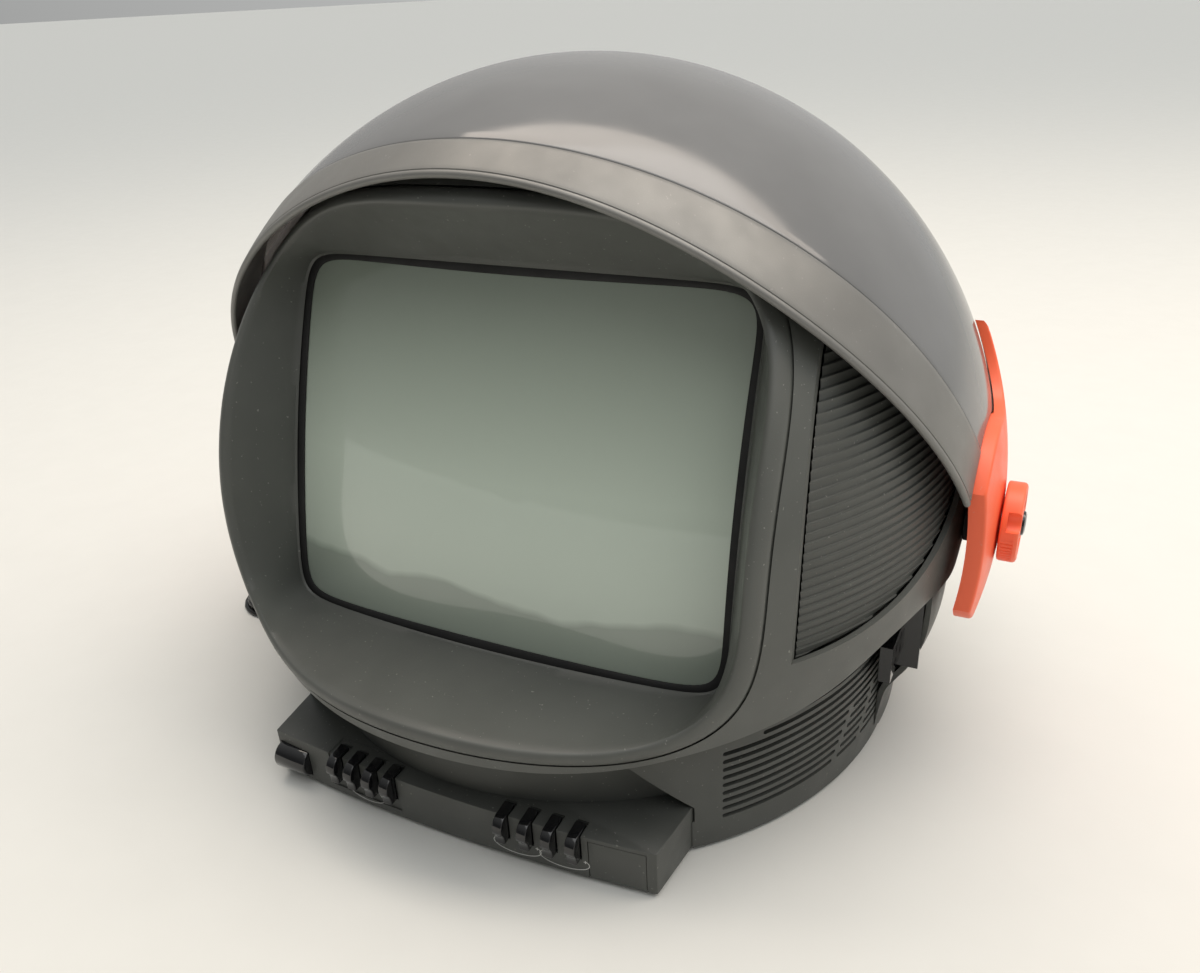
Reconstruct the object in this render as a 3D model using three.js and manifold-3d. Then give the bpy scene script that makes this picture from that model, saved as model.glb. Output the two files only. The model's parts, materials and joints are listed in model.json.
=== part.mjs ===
// Portable television with a ball-shaped head, a swing-up visor and a round base.
// Millimetres. +Z is up, +X is to the right seen from the front, and the front faces -Y.
// The origin is the centre of the base at the height of the table.

import * as THREE from 'three';
import { mergeVertices } from 'three/addons/utils/BufferGeometryUtils.js';
import Module from 'manifold-3d';

const wasm = await Module();
wasm.setup();

// ---------- driving dimensions ----------

const GAP = 0.35; // clearance between pieces that touch
const WALL = 3; // moulded wall thickness
const radians = THREE.MathUtils.degToRad;

// The head is a ball about the visor's hinge axis, and everything in it leans back.
const HINGE_Y = 12;
const HINGE_Z = 148;
const HEAD_R = 236;
const LEAN = radians(16.5);
const HEAD_SPLIT_Y = 30; // joint between front and rear cabinet
const HEAD_FLOOR_HOLE_R = 120;

// In the head's leaning frame: the screen's centre, and the rim of the bezel.
const SCREEN_AHEAD = 141.2;
const SCREEN_ABOVE = 11.65;
const GLASS_CURVE_R = 697;
const GLASS_HALF_W = 146;
const GLASS_HALF_H = 111;
const APERTURE_HALF_W = 141.5;
const APERTURE_HALF_H = 106.5;
const APERTURE_POWER = 15;
const RIM_HALF_W = 166.3;
const RIM_ABOVE = 151.8; // the rim reaches further above the head's axis than below it
const RIM_BELOW = 123.9;
const RIM_POWER = 3.8;
const CREST_R = 236.6; // the crest of the bezel's lip lies on a ball of this radius

// Visor: a band of a larger ball, raised at rest.
const VISOR_R = 248.5;
const VISOR_WALL = 3;
const BAND_R = 249;
const BAND_WALL = 3.8;
const VISOR_FRONT = radians(61.6); // angle up from the front, where the clear dome meets the band
const VISOR_REAR = radians(152);

// Hinge covers, bolts and knobs on the hinge axis.
const COVER_OUTER_R = 255;
const COVER_INNER_R = 249.3;
const COVER_CORE_R = 246;
const WASHER_IN_X = 236.4;
const WASHER_OUT_X = 244.2;
const WASHER_R = 15;
const HORN_TIP = [57, 97];
const COVER_DISC = 58.4;
const COVER_CHORD = 46;
const BOLT_R = 5;
const BUSH_R = 8;
const KNOB_R = 22.8;
const KNOB_INNER_X = 255.6;
const KNOB_OUTER_X = 266;
const KNOB_FLUTES = 20;

// Base drum with louvres, and the rear cover that bulges out behind it.
const BASE_R = 201.7;
const BASE_BOTTOM = 2;
const BASE_TOP = 126;
const REST_PAD_R = 60;
const SLOT_COUNT = 11;
const SLOT_LOWEST = 20.3;
const SLOT_PITCH = 5.4;
const SLOT_HEIGHT = 2.6;
const REAR_COVER_FRONT_Y = -21;
const SOCKET_PANEL_R = 213;

// Control bar across the front of the base.
const BAR_HALF_W = 126;
const BAR_BOTTOM = 3;
const BAR_TOP = 31.6;
const BAR_CORNER_Y = -190.5;
const BAR_MIDDLE_Y = -198;
const BAR_BACK_Y = -134;
const BAR_FLARE = 7;
const FRONT_WALL_R = 188; // the drum's wall is set back above the bar
const BAR_WALL = 2.4;
const KEY_WIDTH = 6;
const KEY_POSITIONS = [-76, -63, -49.5, -36.5, 38.5, 53, 67, 81];
const KEY_TRAVEL = 2;
const POWER_LEFT = 88;
const POWER_RIGHT = 120.5;

// Mains lead.
const CORD_D = 3.6;
const CORD_SIDES = 8;
const COIL_CENTRE = [-263, -38];
const COIL_MID_R = 21;

// ---------- colours ----------

function finish(colour, roughness, metalness = 0) {
  return new THREE.MeshStandardMaterial({ color: colour, roughness, metalness });
}

const anthracite = finish(0x4a4b49, 0.55, 0.1);
const anthraciteDark = finish(0x3c3e3d, 0.6, 0.1);
const visorGrey = finish(0x7d7a74, 0.4, 0.3);
const smokeClear = new THREE.MeshStandardMaterial({
  color: 0x6f7072,
  roughness: 0.08,
  transparent: true,
  opacity: 0.8,
});
const orange = finish(0xfd6e4b, 0.42);
const glossBlack = finish(0x101112, 0.12);
const rubber = finish(0x151515, 0.8);
const screenGlass = finish(0x7f8a82, 0.08);
const darkGlass = finish(0x3a3f3c, 0.2);
const steel = finish(0xb8bbbd, 0.35, 0.9);
const copper = finish(0xa8673a, 0.4, 0.8);
const circuitGreen = finish(0x2e5a33, 0.6);
const paper = finish(0x262422, 0.8);

// ---------- helpers ----------

// A matrix that turns about X, Y and Z and then moves.
function placed(x, y, z, turnX = 0, turnY = 0, turnZ = 0) {
  const matrix = new THREE.Matrix4().makeRotationFromEuler(new THREE.Euler(turnX, turnY, turnZ));
  return matrix.setPosition(x, y, z);
}

const headFrame = placed(0, HINGE_Y, HINGE_Z, -LEAN);

// Merges equal corners, drops triangles that have closed up, and turns the faces outwards.
function closedSurface(corners, triangles) {
  const raw = new THREE.BufferGeometry();
  raw.setAttribute('position', new THREE.Float32BufferAttribute(corners, 3));
  raw.setIndex(triangles);
  const merged = mergeVertices(raw, 1e-3);
  const index = merged.index.array;
  const points = merged.attributes.position;
  const a = new THREE.Vector3();
  const b = new THREE.Vector3();
  const c = new THREE.Vector3();
  const kept = [];
  let volume = 0;
  for (let i = 0; i < index.length; i += 3) {
    const [p, q, r] = [index[i], index[i + 1], index[i + 2]];
    if (p === q || q === r || r === p) continue;
    kept.push(p, q, r);
    a.fromBufferAttribute(points, p);
    b.fromBufferAttribute(points, q);
    c.fromBufferAttribute(points, r);
    volume += a.dot(b.cross(c));
  }
  if (volume < 0) kept.reverse();
  merged.setIndex(kept);
  merged.computeVertexNormals();
  return merged;
}

// A curved sheet with thickness. pointAt(u, v, inner) gives the outer face, or the inner
// face where inner is 1. With wrap the sheet closes on itself along v.
function sheet(rows, columns, pointAt, wrap = false) {
  const corners = [];
  const triangles = [];
  for (const inner of [0, 1]) {
    for (let i = 0; i <= rows; i += 1) {
      for (let j = 0; j <= columns; j += 1) {
        const v = wrap && j === columns ? 0 : j / columns;
        corners.push(...pointAt(i / rows, v, inner).toArray());
      }
    }
  }
  const at = (i, j, inner) => (inner * (rows + 1) + i) * (columns + 1) + j;
  const quad = (a, b, c, d) => triangles.push(a, b, c, a, c, d);
  for (let i = 0; i < rows; i += 1) {
    for (let j = 0; j < columns; j += 1) {
      quad(at(i, j, 0), at(i + 1, j, 0), at(i + 1, j + 1, 0), at(i, j + 1, 0));
      quad(at(i, j, 1), at(i, j + 1, 1), at(i + 1, j + 1, 1), at(i + 1, j, 1));
    }
  }
  for (let j = 0; j < columns; j += 1) {
    quad(at(0, j, 0), at(0, j + 1, 0), at(0, j + 1, 1), at(0, j, 1));
    quad(at(rows, j, 0), at(rows, j, 1), at(rows, j + 1, 1), at(rows, j + 1, 0));
  }
  if (!wrap) {
    for (let i = 0; i < rows; i += 1) {
      quad(at(i, 0, 0), at(i, 0, 1), at(i + 1, 0, 1), at(i + 1, 0, 0));
      quad(at(i, columns, 0), at(i + 1, columns, 0), at(i + 1, columns, 1), at(i, columns, 1));
    }
  }
  return closedSurface(corners, triangles);
}

// A geometry as a manifold solid, moved by a matrix.
function solid(geometry, matrix = new THREE.Matrix4()) {
  const bare = geometry.clone().applyMatrix4(matrix);
  bare.deleteAttribute('normal');
  bare.deleteAttribute('uv');
  const merged = mergeVertices(bare, 1e-4);
  return new wasm.Manifold(
    new wasm.Mesh({
      numProp: 3,
      vertProperties: Float32Array.from(merged.attributes.position.array),
      triVerts: Uint32Array.from(merged.index.array),
    }),
  );
}

// A manifold solid back as a geometry.
function surface(body) {
  const mesh = body.getMesh();
  const geometry = new THREE.BufferGeometry();
  geometry.setAttribute('position', new THREE.BufferAttribute(mesh.vertProperties, 3));
  geometry.setIndex(new THREE.BufferAttribute(mesh.triVerts, 1));
  geometry.computeVertexNormals();
  return geometry;
}

function box(x0, x1, y0, y1, z0, z1) {
  const geometry = new THREE.BoxGeometry(x1 - x0, y1 - y0, z1 - z0);
  return geometry.translate((x0 + x1) / 2, (y0 + y1) / 2, (z0 + z1) / 2);
}

// A solid turned about the hinge axis. The profile is a list of [x, radius], and side is
// 1 for the right hinge and -1 for the left.
function turnedOnHinge(profile, side, segments = 16) {
  const points = profile.map(([x, r]) => new THREE.Vector2(r, x));
  const lathe = new THREE.LatheGeometry(points, segments);
  const matrix = placed(0, HINGE_Y, HINGE_Z, 0, 0, side * -Math.PI / 2);
  return closedSurface([...lathe.applyMatrix4(matrix).attributes.position.array], [...lathe.index.array]);
}

// A side-view outline, drawn as (y, z), made solid between two x positions.
function acrossX(shape, x0, x1, curveSegments = 12) {
  const options = { depth: x1 - x0, bevelEnabled: false, curveSegments };
  const geometry = new THREE.ExtrudeGeometry(shape, options);
  const axes = new THREE.Matrix4().makeBasis(
    new THREE.Vector3(0, 1, 0),
    new THREE.Vector3(0, 0, 1),
    new THREE.Vector3(1, 0, 0),
  );
  return geometry.applyMatrix4(axes).translate(x0, 0, 0);
}

// A front-view outline, drawn as (x, z), made solid between two y positions.
function acrossY(shape, y0, y1) {
  const geometry = new THREE.ExtrudeGeometry(shape, { depth: y1 - y0, bevelEnabled: false });
  return geometry.rotateX(Math.PI / 2).translate(0, y1, 0);
}

// A plan-view outline, drawn as (x, y), made solid between two heights.
function upright(shape, z0, z1, curveSegments = 12) {
  const options = { depth: z1 - z0, bevelEnabled: false, curveSegments };
  return new THREE.ExtrudeGeometry(shape, options).translate(0, 0, z0);
}

// A ball about the centre of the head.
function headBall(radius, around = 40, along = 20) {
  return solid(new THREE.SphereGeometry(radius, around, along), placed(0, HINGE_Y, HINGE_Z, Math.PI / 2));
}

// Distance from the centre to a rounded rectangle's edge in a direction.
function roundedRadius(angle, halfW, halfH, power) {
  const c = Math.abs(Math.cos(angle)) / halfW;
  const s = Math.abs(Math.sin(angle)) / halfH;
  return (c ** power + s ** power) ** (-1 / power);
}

// Directions round the screen, closer together near its corners.
function screenAngle(v) {
  const corner = Math.atan2(APERTURE_HALF_H, APERTURE_HALF_W);
  const quadrant = Math.floor(v * 4 + 1e-9);
  const t = v * 4 - quadrant;
  const first = quadrant % 2 === 0 ? corner : Math.PI / 2 - corner;
  const spread = 1.7;
  let angle;
  if (t < 0.5) angle = first * (1 - (1 - 2 * t) ** spread);
  else angle = first + (Math.PI / 2 - first) * (2 * t - 1) ** spread;
  return (quadrant * Math.PI) / 2 + angle;
}

// A point in the head's leaning frame: radius from the screen's or the rim's centre in a
// direction, at a distance ahead of the hinge axis.
function headPoint(angle, radius, ahead, above = 0) {
  return new THREE.Vector3(radius * Math.cos(angle), -ahead, radius * Math.sin(angle) + above);
}

// Distance from the head's axis to the bezel's rim in a direction.
function rimRadius(angle) {
  return roundedRadius(angle, RIM_HALF_W, Math.sin(angle) > 0 ? RIM_ABOVE : RIM_BELOW, RIM_POWER);
}

// How far a ball about the hinge axis is ahead, at a distance from the head's axis.
function ballAhead(radius, ball) {
  return Math.sqrt(ball ** 2 - radius ** 2);
}

// How far the glass is ahead of the hinge axis at a distance from its centre.
function glassAhead(radius) {
  return SCREEN_AHEAD - radius ** 2 / (2 * GLASS_CURVE_R);
}

const television = new THREE.Group();

// Adds a finished piece to a group.
function add(name, geometry, material, group = television) {
  const mesh = new THREE.Mesh(geometry, material);
  mesh.name = name;
  group.add(mesh);
  return mesh;
}

const leaning = new THREE.Group();
leaning.position.set(0, HINGE_Y, HINGE_Z);
leaning.rotation.x = -LEAN;
television.add(leaning);

// ---------- underside of the head ----------

// The lower edge of the head rises from the chin to the hinge and falls again behind it.
const JAW = [
  [-216, 75],
  [-206, 74.5],
  [-197, 75.5],
  [-184, 79],
  [-171, 83.5],
  [-161, 86.5],
  [-149, 90],
  [-133, 95.3],
  [-113, 103.8],
  [-97, 112],
  [-82, 118],
  [-50, 122],
  [10, 114],
  [90, 96],
  [260, 80],
];
function aboveJaw(lift) {
  const jaw = JAW.map(([y, z]) => new THREE.Vector2(y, z + lift));
  const shape = new THREE.Shape();
  shape.moveTo(-300, jaw[0].y);
  shape.lineTo(jaw[0].x, jaw[0].y);
  shape.splineThru(jaw.slice(1));
  shape.lineTo(300, 80 + lift);
  shape.lineTo(300, 500);
  shape.lineTo(-300, 500);
  shape.closePath();
  return solid(acrossX(shape, -300, 300, 3));
}

// ---------- room for the picture tube ----------

// The size of the tube's face in a direction from its centre.
function faceRadius(angle) {
  return roundedRadius(angle, GLASS_HALF_W, GLASS_HALF_H, 8);
}

// The space that the bezel and the picture tube take, from the front to the back.
const BEZEL_BAND = 2; // the bezel's side band stands this far outside the rim
function tubeClearance(u, v) {
  const angle = screenAngle(v);
  const rim = rimRadius(angle);
  const opening = rim + BEZEL_BAND + GAP;
  const hole = roundedRadius(angle, APERTURE_HALF_W, APERTURE_HALF_H, APERTURE_POWER);
  const edge = faceRadius(angle);
  const [radius, ahead, above] = [
    [0, 280, 0],
    [opening, 280, 0],
    [opening, ballAhead(opening, HEAD_R - 6), 0],
    [rim - 3, ballAhead(rim - 3, HEAD_R - 9.5), 0],
    [hole + 6.5, glassAhead(hole) - 1, SCREEN_ABOVE],
    [edge + 3, glassAhead(edge), SCREEN_ABOVE],
    [edge + 3, glassAhead(edge) - 38, SCREEN_ABOVE],
    [edge * 0.55 + 10, 30, SCREEN_ABOVE],
    [30, -20, SCREEN_ABOVE],
    [0, -20, SCREEN_ABOVE],
  ][Math.round(u * 9)];
  return headPoint(angle, radius, ahead, above);
}

// ---------- head cabinet ----------

// A closed lump whose rows start and end at a single point on its axis.
function lump(rows, columns, pointAt) {
  const corners = [];
  const triangles = [];
  for (let i = 0; i <= rows; i += 1) {
    for (let j = 0; j <= columns; j += 1) {
      corners.push(...pointAt(i / rows, (j % columns) / columns).toArray());
    }
  }
  for (let i = 0; i < rows; i += 1) {
    for (let j = 0; j < columns; j += 1) {
      const a = i * (columns + 1) + j;
      const b = a + columns + 1;
      triangles.push(a, b, b + 1, a, b + 1, a + 1);
    }
  }
  return closedSurface(corners, triangles);
}

const headShape = headBall(HEAD_R, 48, 24).intersect(aboveJaw(0));
const headHollow = headBall(HEAD_R - WALL, 32, 16).intersect(aboveJaw(WALL));
const floorHole = new THREE.CylinderGeometry(HEAD_FLOOR_HOLE_R, HEAD_FLOOR_HOLE_R, 160, 28);
let cabinet = headShape
  .subtract(headHollow)
  .subtract(solid(floorHole, placed(0, HINGE_Y, 80, Math.PI / 2)));

// Ribbed grilles on both sides sit in windows of the front cabinet.
const GRILLE_FACE_R = 232.5;
const GRILLE_WALL = 3;
const GRILLE_INNER_X = 165;
const GRILLE_BOTTOM = 126;
const GRILLE_TOP = 287.7;
const GRILLE_BACK_Y = -6;
const GRILLE_RIBS = 13;
const GRILLE_RIB_DEPTH = 1.8;

// The window's front edge leans in towards its top, and its lower edge rises towards the hinge.
function grilleWindow(side, grow) {
  const high = GRILLE_TOP + grow;
  const fromFront = new THREE.Shape();
  fromFront.moveTo(side * 300, 110);
  for (let i = 0; i <= 8; i += 1) {
    const z = 110 + ((high - 110) * i) / 8;
    fromFront.lineTo(side * (179.2 - 0.00062 * (z - 165) ** 2 - grow), z);
  }
  fromFront.lineTo(side * 300, high);
  const fromSide = new THREE.Shape();
  fromSide.moveTo(-200, 132 - grow);
  for (let i = 0; i <= 8; i += 1) {
    const y = -136 + ((GRILLE_BACK_Y + grow + 136) * i) / 8;
    fromSide.lineTo(y, 132 - grow + 31 * ((y + 136) / 109) ** 2);
  }
  fromSide.lineTo(GRILLE_BACK_Y + grow, high);
  fromSide.lineTo(-200, high);
  return solid(acrossY(fromFront, -210, 10)).intersect(solid(acrossX(fromSide, -300, 300)));
}

for (const side of [-1, 1]) {
  cabinet = cabinet.subtract(grilleWindow(side, GAP));
  const pointAt = (u, v, inner) => {
    const z = GRILLE_BOTTOM + u * (GRILLE_TOP + 2 - GRILLE_BOTTOM);
    const step = (u * GRILLE_RIBS) % 1 < 0.25 ? 0 : GRILLE_RIB_DEPTH;
    const radius = GRILLE_FACE_R - (inner ? GRILLE_WALL + GRILLE_RIB_DEPTH : step);
    const up = z - HINGE_Z;
    const frontY = HINGE_Y - Math.sqrt(radius ** 2 - GRILLE_INNER_X ** 2 - up ** 2);
    const y = frontY + v * (GRILLE_BACK_Y + 3 - frontY);
    const x = Math.sqrt(radius ** 2 - (y - HINGE_Y) ** 2 - up ** 2);
    return new THREE.Vector3(side * x, y, z);
  };
  const ribs = solid(sheet(GRILLE_RIBS * 2, 5, pointAt)).intersect(grilleWindow(side, 0));
  add(side > 0 ? 'side_grille_right' : 'side_grille_left', surface(ribs), anthraciteDark);
}

for (const side of [-1, 1]) {
  const hole = new THREE.CylinderGeometry(BOLT_R + GAP, BOLT_R + GAP, 30, 20);
  const bore = solid(hole, placed(side * HEAD_R, HINGE_Y, HINGE_Z, 0, 0, Math.PI / 2));
  cabinet = cabinet.subtract(bore);
}

// The opening for the bezel, and room for the picture tube behind it.
const BEZEL_COLUMNS = 56;
cabinet = cabinet.subtract(solid(lump(9, BEZEL_COLUMNS, tubeClearance), headFrame));

const inFront = solid(box(-300, 300, -300, HEAD_SPLIT_Y - GAP / 2, -50, 500));
const behind = solid(box(-300, 300, HEAD_SPLIT_Y + GAP / 2, 300, -50, 500));
add('front_cabinet', surface(cabinet.intersect(inFront)), anthracite);

// Rear cabinet with cooling slots and an opening for the cover over the tube's neck.
const REAR_SLOTS = 5;
const NECK_COVER_HALF_W = 62;
const NECK_COVER_LOW = 205;
const NECK_COVER_HIGH = 275;
let rearCabinet = cabinet.intersect(behind);
for (let i = 0; i < REAR_SLOTS; i += 1) {
  const z = 140 + i * 11;
  rearCabinet = rearCabinet.subtract(solid(box(-70, 70, 150, 300, z, z + 3.5)));
}
const neckOpening = box(
  -NECK_COVER_HALF_W,
  NECK_COVER_HALF_W,
  120,
  300,
  NECK_COVER_LOW,
  NECK_COVER_HIGH,
);
rearCabinet = rearCabinet.subtract(solid(neckOpening));
add('rear_cabinet', surface(rearCabinet), anthracite);

const neckPlug = box(
  -NECK_COVER_HALF_W + GAP,
  NECK_COVER_HALF_W - GAP,
  120,
  300,
  NECK_COVER_LOW + GAP,
  NECK_COVER_HIGH - GAP,
);
const neckCover = headBall(HEAD_R - 1).subtract(headBall(HEAD_R - 4)).intersect(solid(neckPlug));
add('neck_cover', surface(neckCover), anthraciteDark);

// Screws that hold the rear cabinet on, either side of the neck cover.
const SCREW_R = 4.5;
for (const [side, high, name] of [
  [-1, 290, 'rear_screw_left'],
  [1, 290, 'rear_screw_right'],
]) {
  const x = side * 95;
  const y = HINGE_Y + Math.sqrt(HEAD_R ** 2 - x ** 2 - (high - HINGE_Z) ** 2);
  const outward = new THREE.Vector3(x, y - HINGE_Y, high - HINGE_Z).normalize();
  const screw = new THREE.CylinderGeometry(SCREW_R, SCREW_R, 2, 16);
  const mesh = add(name, closedSurface([...screw.attributes.position.array], [...screw.index.array]), steel);
  mesh.position.set(x, y, high).addScaledVector(outward, 1 + GAP);
  mesh.quaternion.setFromUnitVectors(new THREE.Vector3(0, 1, 0), outward);
}

// ---------- front bezel ----------

// Stations from the side band round the lip and down the funnel to the glass. Each is a
// distance outside the rim and the radius of the ball it lies on.
const BEZEL_OUTER = [
  [BEZEL_BAND, HEAD_R - 3.5],
  [1.6, CREST_R - 1.2],
  [-1, CREST_R],
  [-4.5, CREST_R - 0.3],
  [-8, CREST_R - 3],
];
const BEZEL_UNDER = [
  [-0.8, HEAD_R - 4.5],
  [-2.2, HEAD_R - 3.9],
  [-3.6, HEAD_R - 3.9],
  [-4.6, HEAD_R - 4.7],
  [-5.4, HEAD_R - 6.5],
];
const bezelPoint = (u, v, inner) => {
  const angle = screenAngle(v);
  const station = Math.round(u * 5);
  if (station === 5) {
    const hole = roundedRadius(angle, APERTURE_HALF_W, APERTURE_HALF_H, APERTURE_POWER);
    const ahead = glassAhead(hole) + (inner ? 2.8 : 3.6);
    return headPoint(angle, inner ? hole + 3.2 : hole, ahead, SCREEN_ABOVE);
  }
  const [offset, ball] = (inner ? BEZEL_UNDER : BEZEL_OUTER)[station];
  const radius = rimRadius(angle) + offset;
  return headPoint(angle, radius, ballAhead(radius, ball));
};
add('front_bezel', sheet(5, BEZEL_COLUMNS, bezelPoint, true), anthracite, leaning);

// ---------- picture tube ----------

const FACE_THICKNESS = 9;
const gasketPoint = (u, v, inner) => {
  const angle = screenAngle(v);
  const hole = roundedRadius(angle, APERTURE_HALF_W, APERTURE_HALF_H, APERTURE_POWER);
  const radius = hole - 4.5 + u * 6.5;
  const ahead = glassAhead(radius) + (inner ? GAP : 1.2 + u);
  return headPoint(angle, radius, ahead, SCREEN_ABOVE);
};
add('screen_gasket', sheet(1, 48, gasketPoint, true), rubber, leaning);

const facePoint = (u, v, inner) => {
  const angle = screenAngle(v);
  const edge = faceRadius(angle);
  const radius = edge * u;
  return headPoint(angle, radius, glassAhead(radius) - (inner ? FACE_THICKNESS : 0), SCREEN_ABOVE);
};
add('picture_tube_face', sheet(3, 32, facePoint, true), screenGlass, leaning);

// The cone runs from the face back to the neck, open at both ends.
const NECK_R = 14.5;
const NECK_END = -118;
const CONE_WALL = 3.5;
const conePoint = (u, v, inner) => {
  const angle = screenAngle(v);
  const edge = roundedRadius(angle, GLASS_HALF_W - 1, GLASS_HALF_H - 1, 8);
  const start = glassAhead(edge) - FACE_THICKNESS - GAP;
  const station = Math.round(u * 4);
  const [share, ahead] = [
    [1, start],
    [0.97, start - 22],
    [0.5, 30],
    [0, -18],
    [0, NECK_END],
  ][station];
  const radius = NECK_R + (edge - NECK_R) * share - (inner ? CONE_WALL : 0);
  return headPoint(angle, radius, ahead, SCREEN_ABOVE);
};
add('picture_tube_cone', sheet(4, 32, conePoint, true), darkGlass, leaning);

// Steel band shrunk round the face, just outside the glass.
const bandPoint = (u, v, inner) => {
  const angle = screenAngle(v);
  const edge = faceRadius(angle);
  const radius = edge + (inner ? GAP : GAP + 1.6);
  return headPoint(angle, radius, glassAhead(edge) - 3 - u * 20, SCREEN_ABOVE);
};
add('tube_rim_band', sheet(1, 32, bandPoint, true), steel, leaning);

// The deflection yoke is a ring round the neck.
function neckRing(name, innerR, outerR, ahead, length, material) {
  const profile = [
    [innerR, 0],
    [outerR, 0],
    [outerR, length],
    [innerR, length],
    [innerR, 0],
  ].map(([x, y]) => new THREE.Vector2(x, y));
  const lathe = new THREE.LatheGeometry(profile, 20);
  const body = closedSurface([...lathe.attributes.position.array], [...lathe.index.array]);
  const mesh = add(name, body, material, leaning);
  mesh.position.set(0, -ahead, SCREEN_ABOVE);
}
neckRing('deflection_yoke', NECK_R + 1, 46, -22, 48, copper);

const neckBoard = solid(box(-45, 45, -NECK_END + GAP, -NECK_END + 2, SCREEN_ABOVE - 38, SCREEN_ABOVE + 38));
const neckBoardHole = solid(new THREE.CylinderGeometry(7, 7, 20, 20), placed(0, -NECK_END, SCREEN_ABOVE));
add('neck_board', surface(neckBoard.subtract(neckBoardHole)), circuitGreen, leaning);

// ---------- visor ----------

// A point on a ball about the hinge axis: side is the angle from the right-hand hinge,
// swing the angle up from the front.
function onVisor(radius, side, swing) {
  const out = radius * Math.sin(side);
  return new THREE.Vector3(
    radius * Math.cos(side),
    HINGE_Y - out * Math.cos(swing),
    HINGE_Z + out * Math.sin(swing),
  );
}

// The band's front edge is a shallow curve, widest towards the hinges.
function bandWidth(x) {
  const s = x / 200;
  return 25.2 + 24.4 * s ** 2 - 14 * s ** 4;
}

const VISOR_END = radians(9);
const hingeClear = solid(
  new THREE.CylinderGeometry(COVER_DISC + 0.6, COVER_DISC + 0.6, 600, 32),
  placed(0, HINGE_Y, HINGE_Z, 0, 0, Math.PI / 2),
);
const domePoint = (u, v, inner) => {
  const side = VISOR_END + v * (Math.PI - 2 * VISOR_END);
  const radius = VISOR_R - (inner ? VISOR_WALL : 0);
  const start = VISOR_FRONT + GAP / (radius * Math.sin(side));
  return onVisor(radius, side, start + u * (VISOR_REAR - start));
};
const dome = solid(sheet(10, 22, domePoint)).subtract(hingeClear);
add('visor_dome', surface(dome), smokeClear);

const visorBandPoint = (u, v, inner) => {
  const side = VISOR_END + v * (Math.PI - 2 * VISOR_END);
  const radius = BAND_R - (inner ? BAND_WALL : 0);
  const ring = radius * Math.sin(side);
  const width = Math.min(bandWidth(radius * Math.cos(side)), ring * 0.95);
  return onVisor(radius, side, VISOR_FRONT - u * Math.asin(width / ring));
};
const visorBand = solid(sheet(2, 28, visorBandPoint)).subtract(hingeClear);
add('visor_band', surface(visorBand), visorGrey);

// ---------- hinge covers, bolts and knobs ----------

// Side view of a hinge cover about the hinge axis: a disc with its front cut off straight,
// and a horn that runs up behind the hinge along the dome.
function coverOutline() {
  const flat = Math.sqrt(COVER_DISC ** 2 - COVER_CHORD ** 2);
  const shape = new THREE.Shape();
  shape.moveTo(-COVER_CHORD, flat);
  shape.lineTo(-COVER_CHORD, -flat);
  shape.absarc(0, 0, COVER_DISC, Math.atan2(-flat, -COVER_CHORD), radians(8), false);
  shape.quadraticCurveTo(67, 58, ...HORN_TIP);
  shape.bezierCurveTo(52, 74, 43, 54, 12, COVER_DISC - 1.2);
  shape.absarc(0, 0, COVER_DISC, radians(80), Math.atan2(flat, -COVER_CHORD), false);
  return shape;
}

function coverDisc() {
  const flat = Math.sqrt(COVER_DISC ** 2 - COVER_CHORD ** 2);
  const shape = new THREE.Shape();
  shape.moveTo(-COVER_CHORD, flat);
  shape.lineTo(-COVER_CHORD, -flat);
  shape.absarc(0, 0, COVER_DISC, Math.atan2(-flat, -COVER_CHORD), Math.atan2(flat, -COVER_CHORD), false);
  return shape;
}

// A fluted rim with a finger scoop in its upper edge and a recess for the cap.
function knobSolid(side) {
  const shape = new THREE.Shape();
  const steps = KNOB_FLUTES * 2;
  for (let i = 0; i < steps; i += 1) {
    const angle = (i / steps) * 2 * Math.PI;
    const radius = KNOB_R - (i % 2) * 0.9;
    const point = [radius * Math.cos(angle), radius * Math.sin(angle)];
    if (i === 0) shape.moveTo(...point);
    else shape.lineTo(...point);
  }
  const x0 = side > 0 ? KNOB_INNER_X : -KNOB_OUTER_X;
  const x1 = side > 0 ? KNOB_OUTER_X : -KNOB_INNER_X;
  const rim = solid(acrossX(shape, x0, x1), placed(0, HINGE_Y, HINGE_Z));
  const scoop = new THREE.CylinderGeometry(13, 13, 20, 20);
  const scoopX = side * (KNOB_OUTER_X + 1.5);
  const scooped = rim.subtract(solid(scoop, placed(scoopX, HINGE_Y, HINGE_Z + 25, Math.PI / 2)));
  const bolt = turnedOnHinge([[250, 0], [250, BOLT_R + GAP], [263, BOLT_R + GAP], [263, 0]], side, 16);
  const recess = turnedOnHinge([[264.6, 0], [264.6, 7.6], [270, 7.6], [270, 0]], side, 16);
  return scooped.subtract(solid(bolt)).subtract(solid(recess));
}

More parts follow.
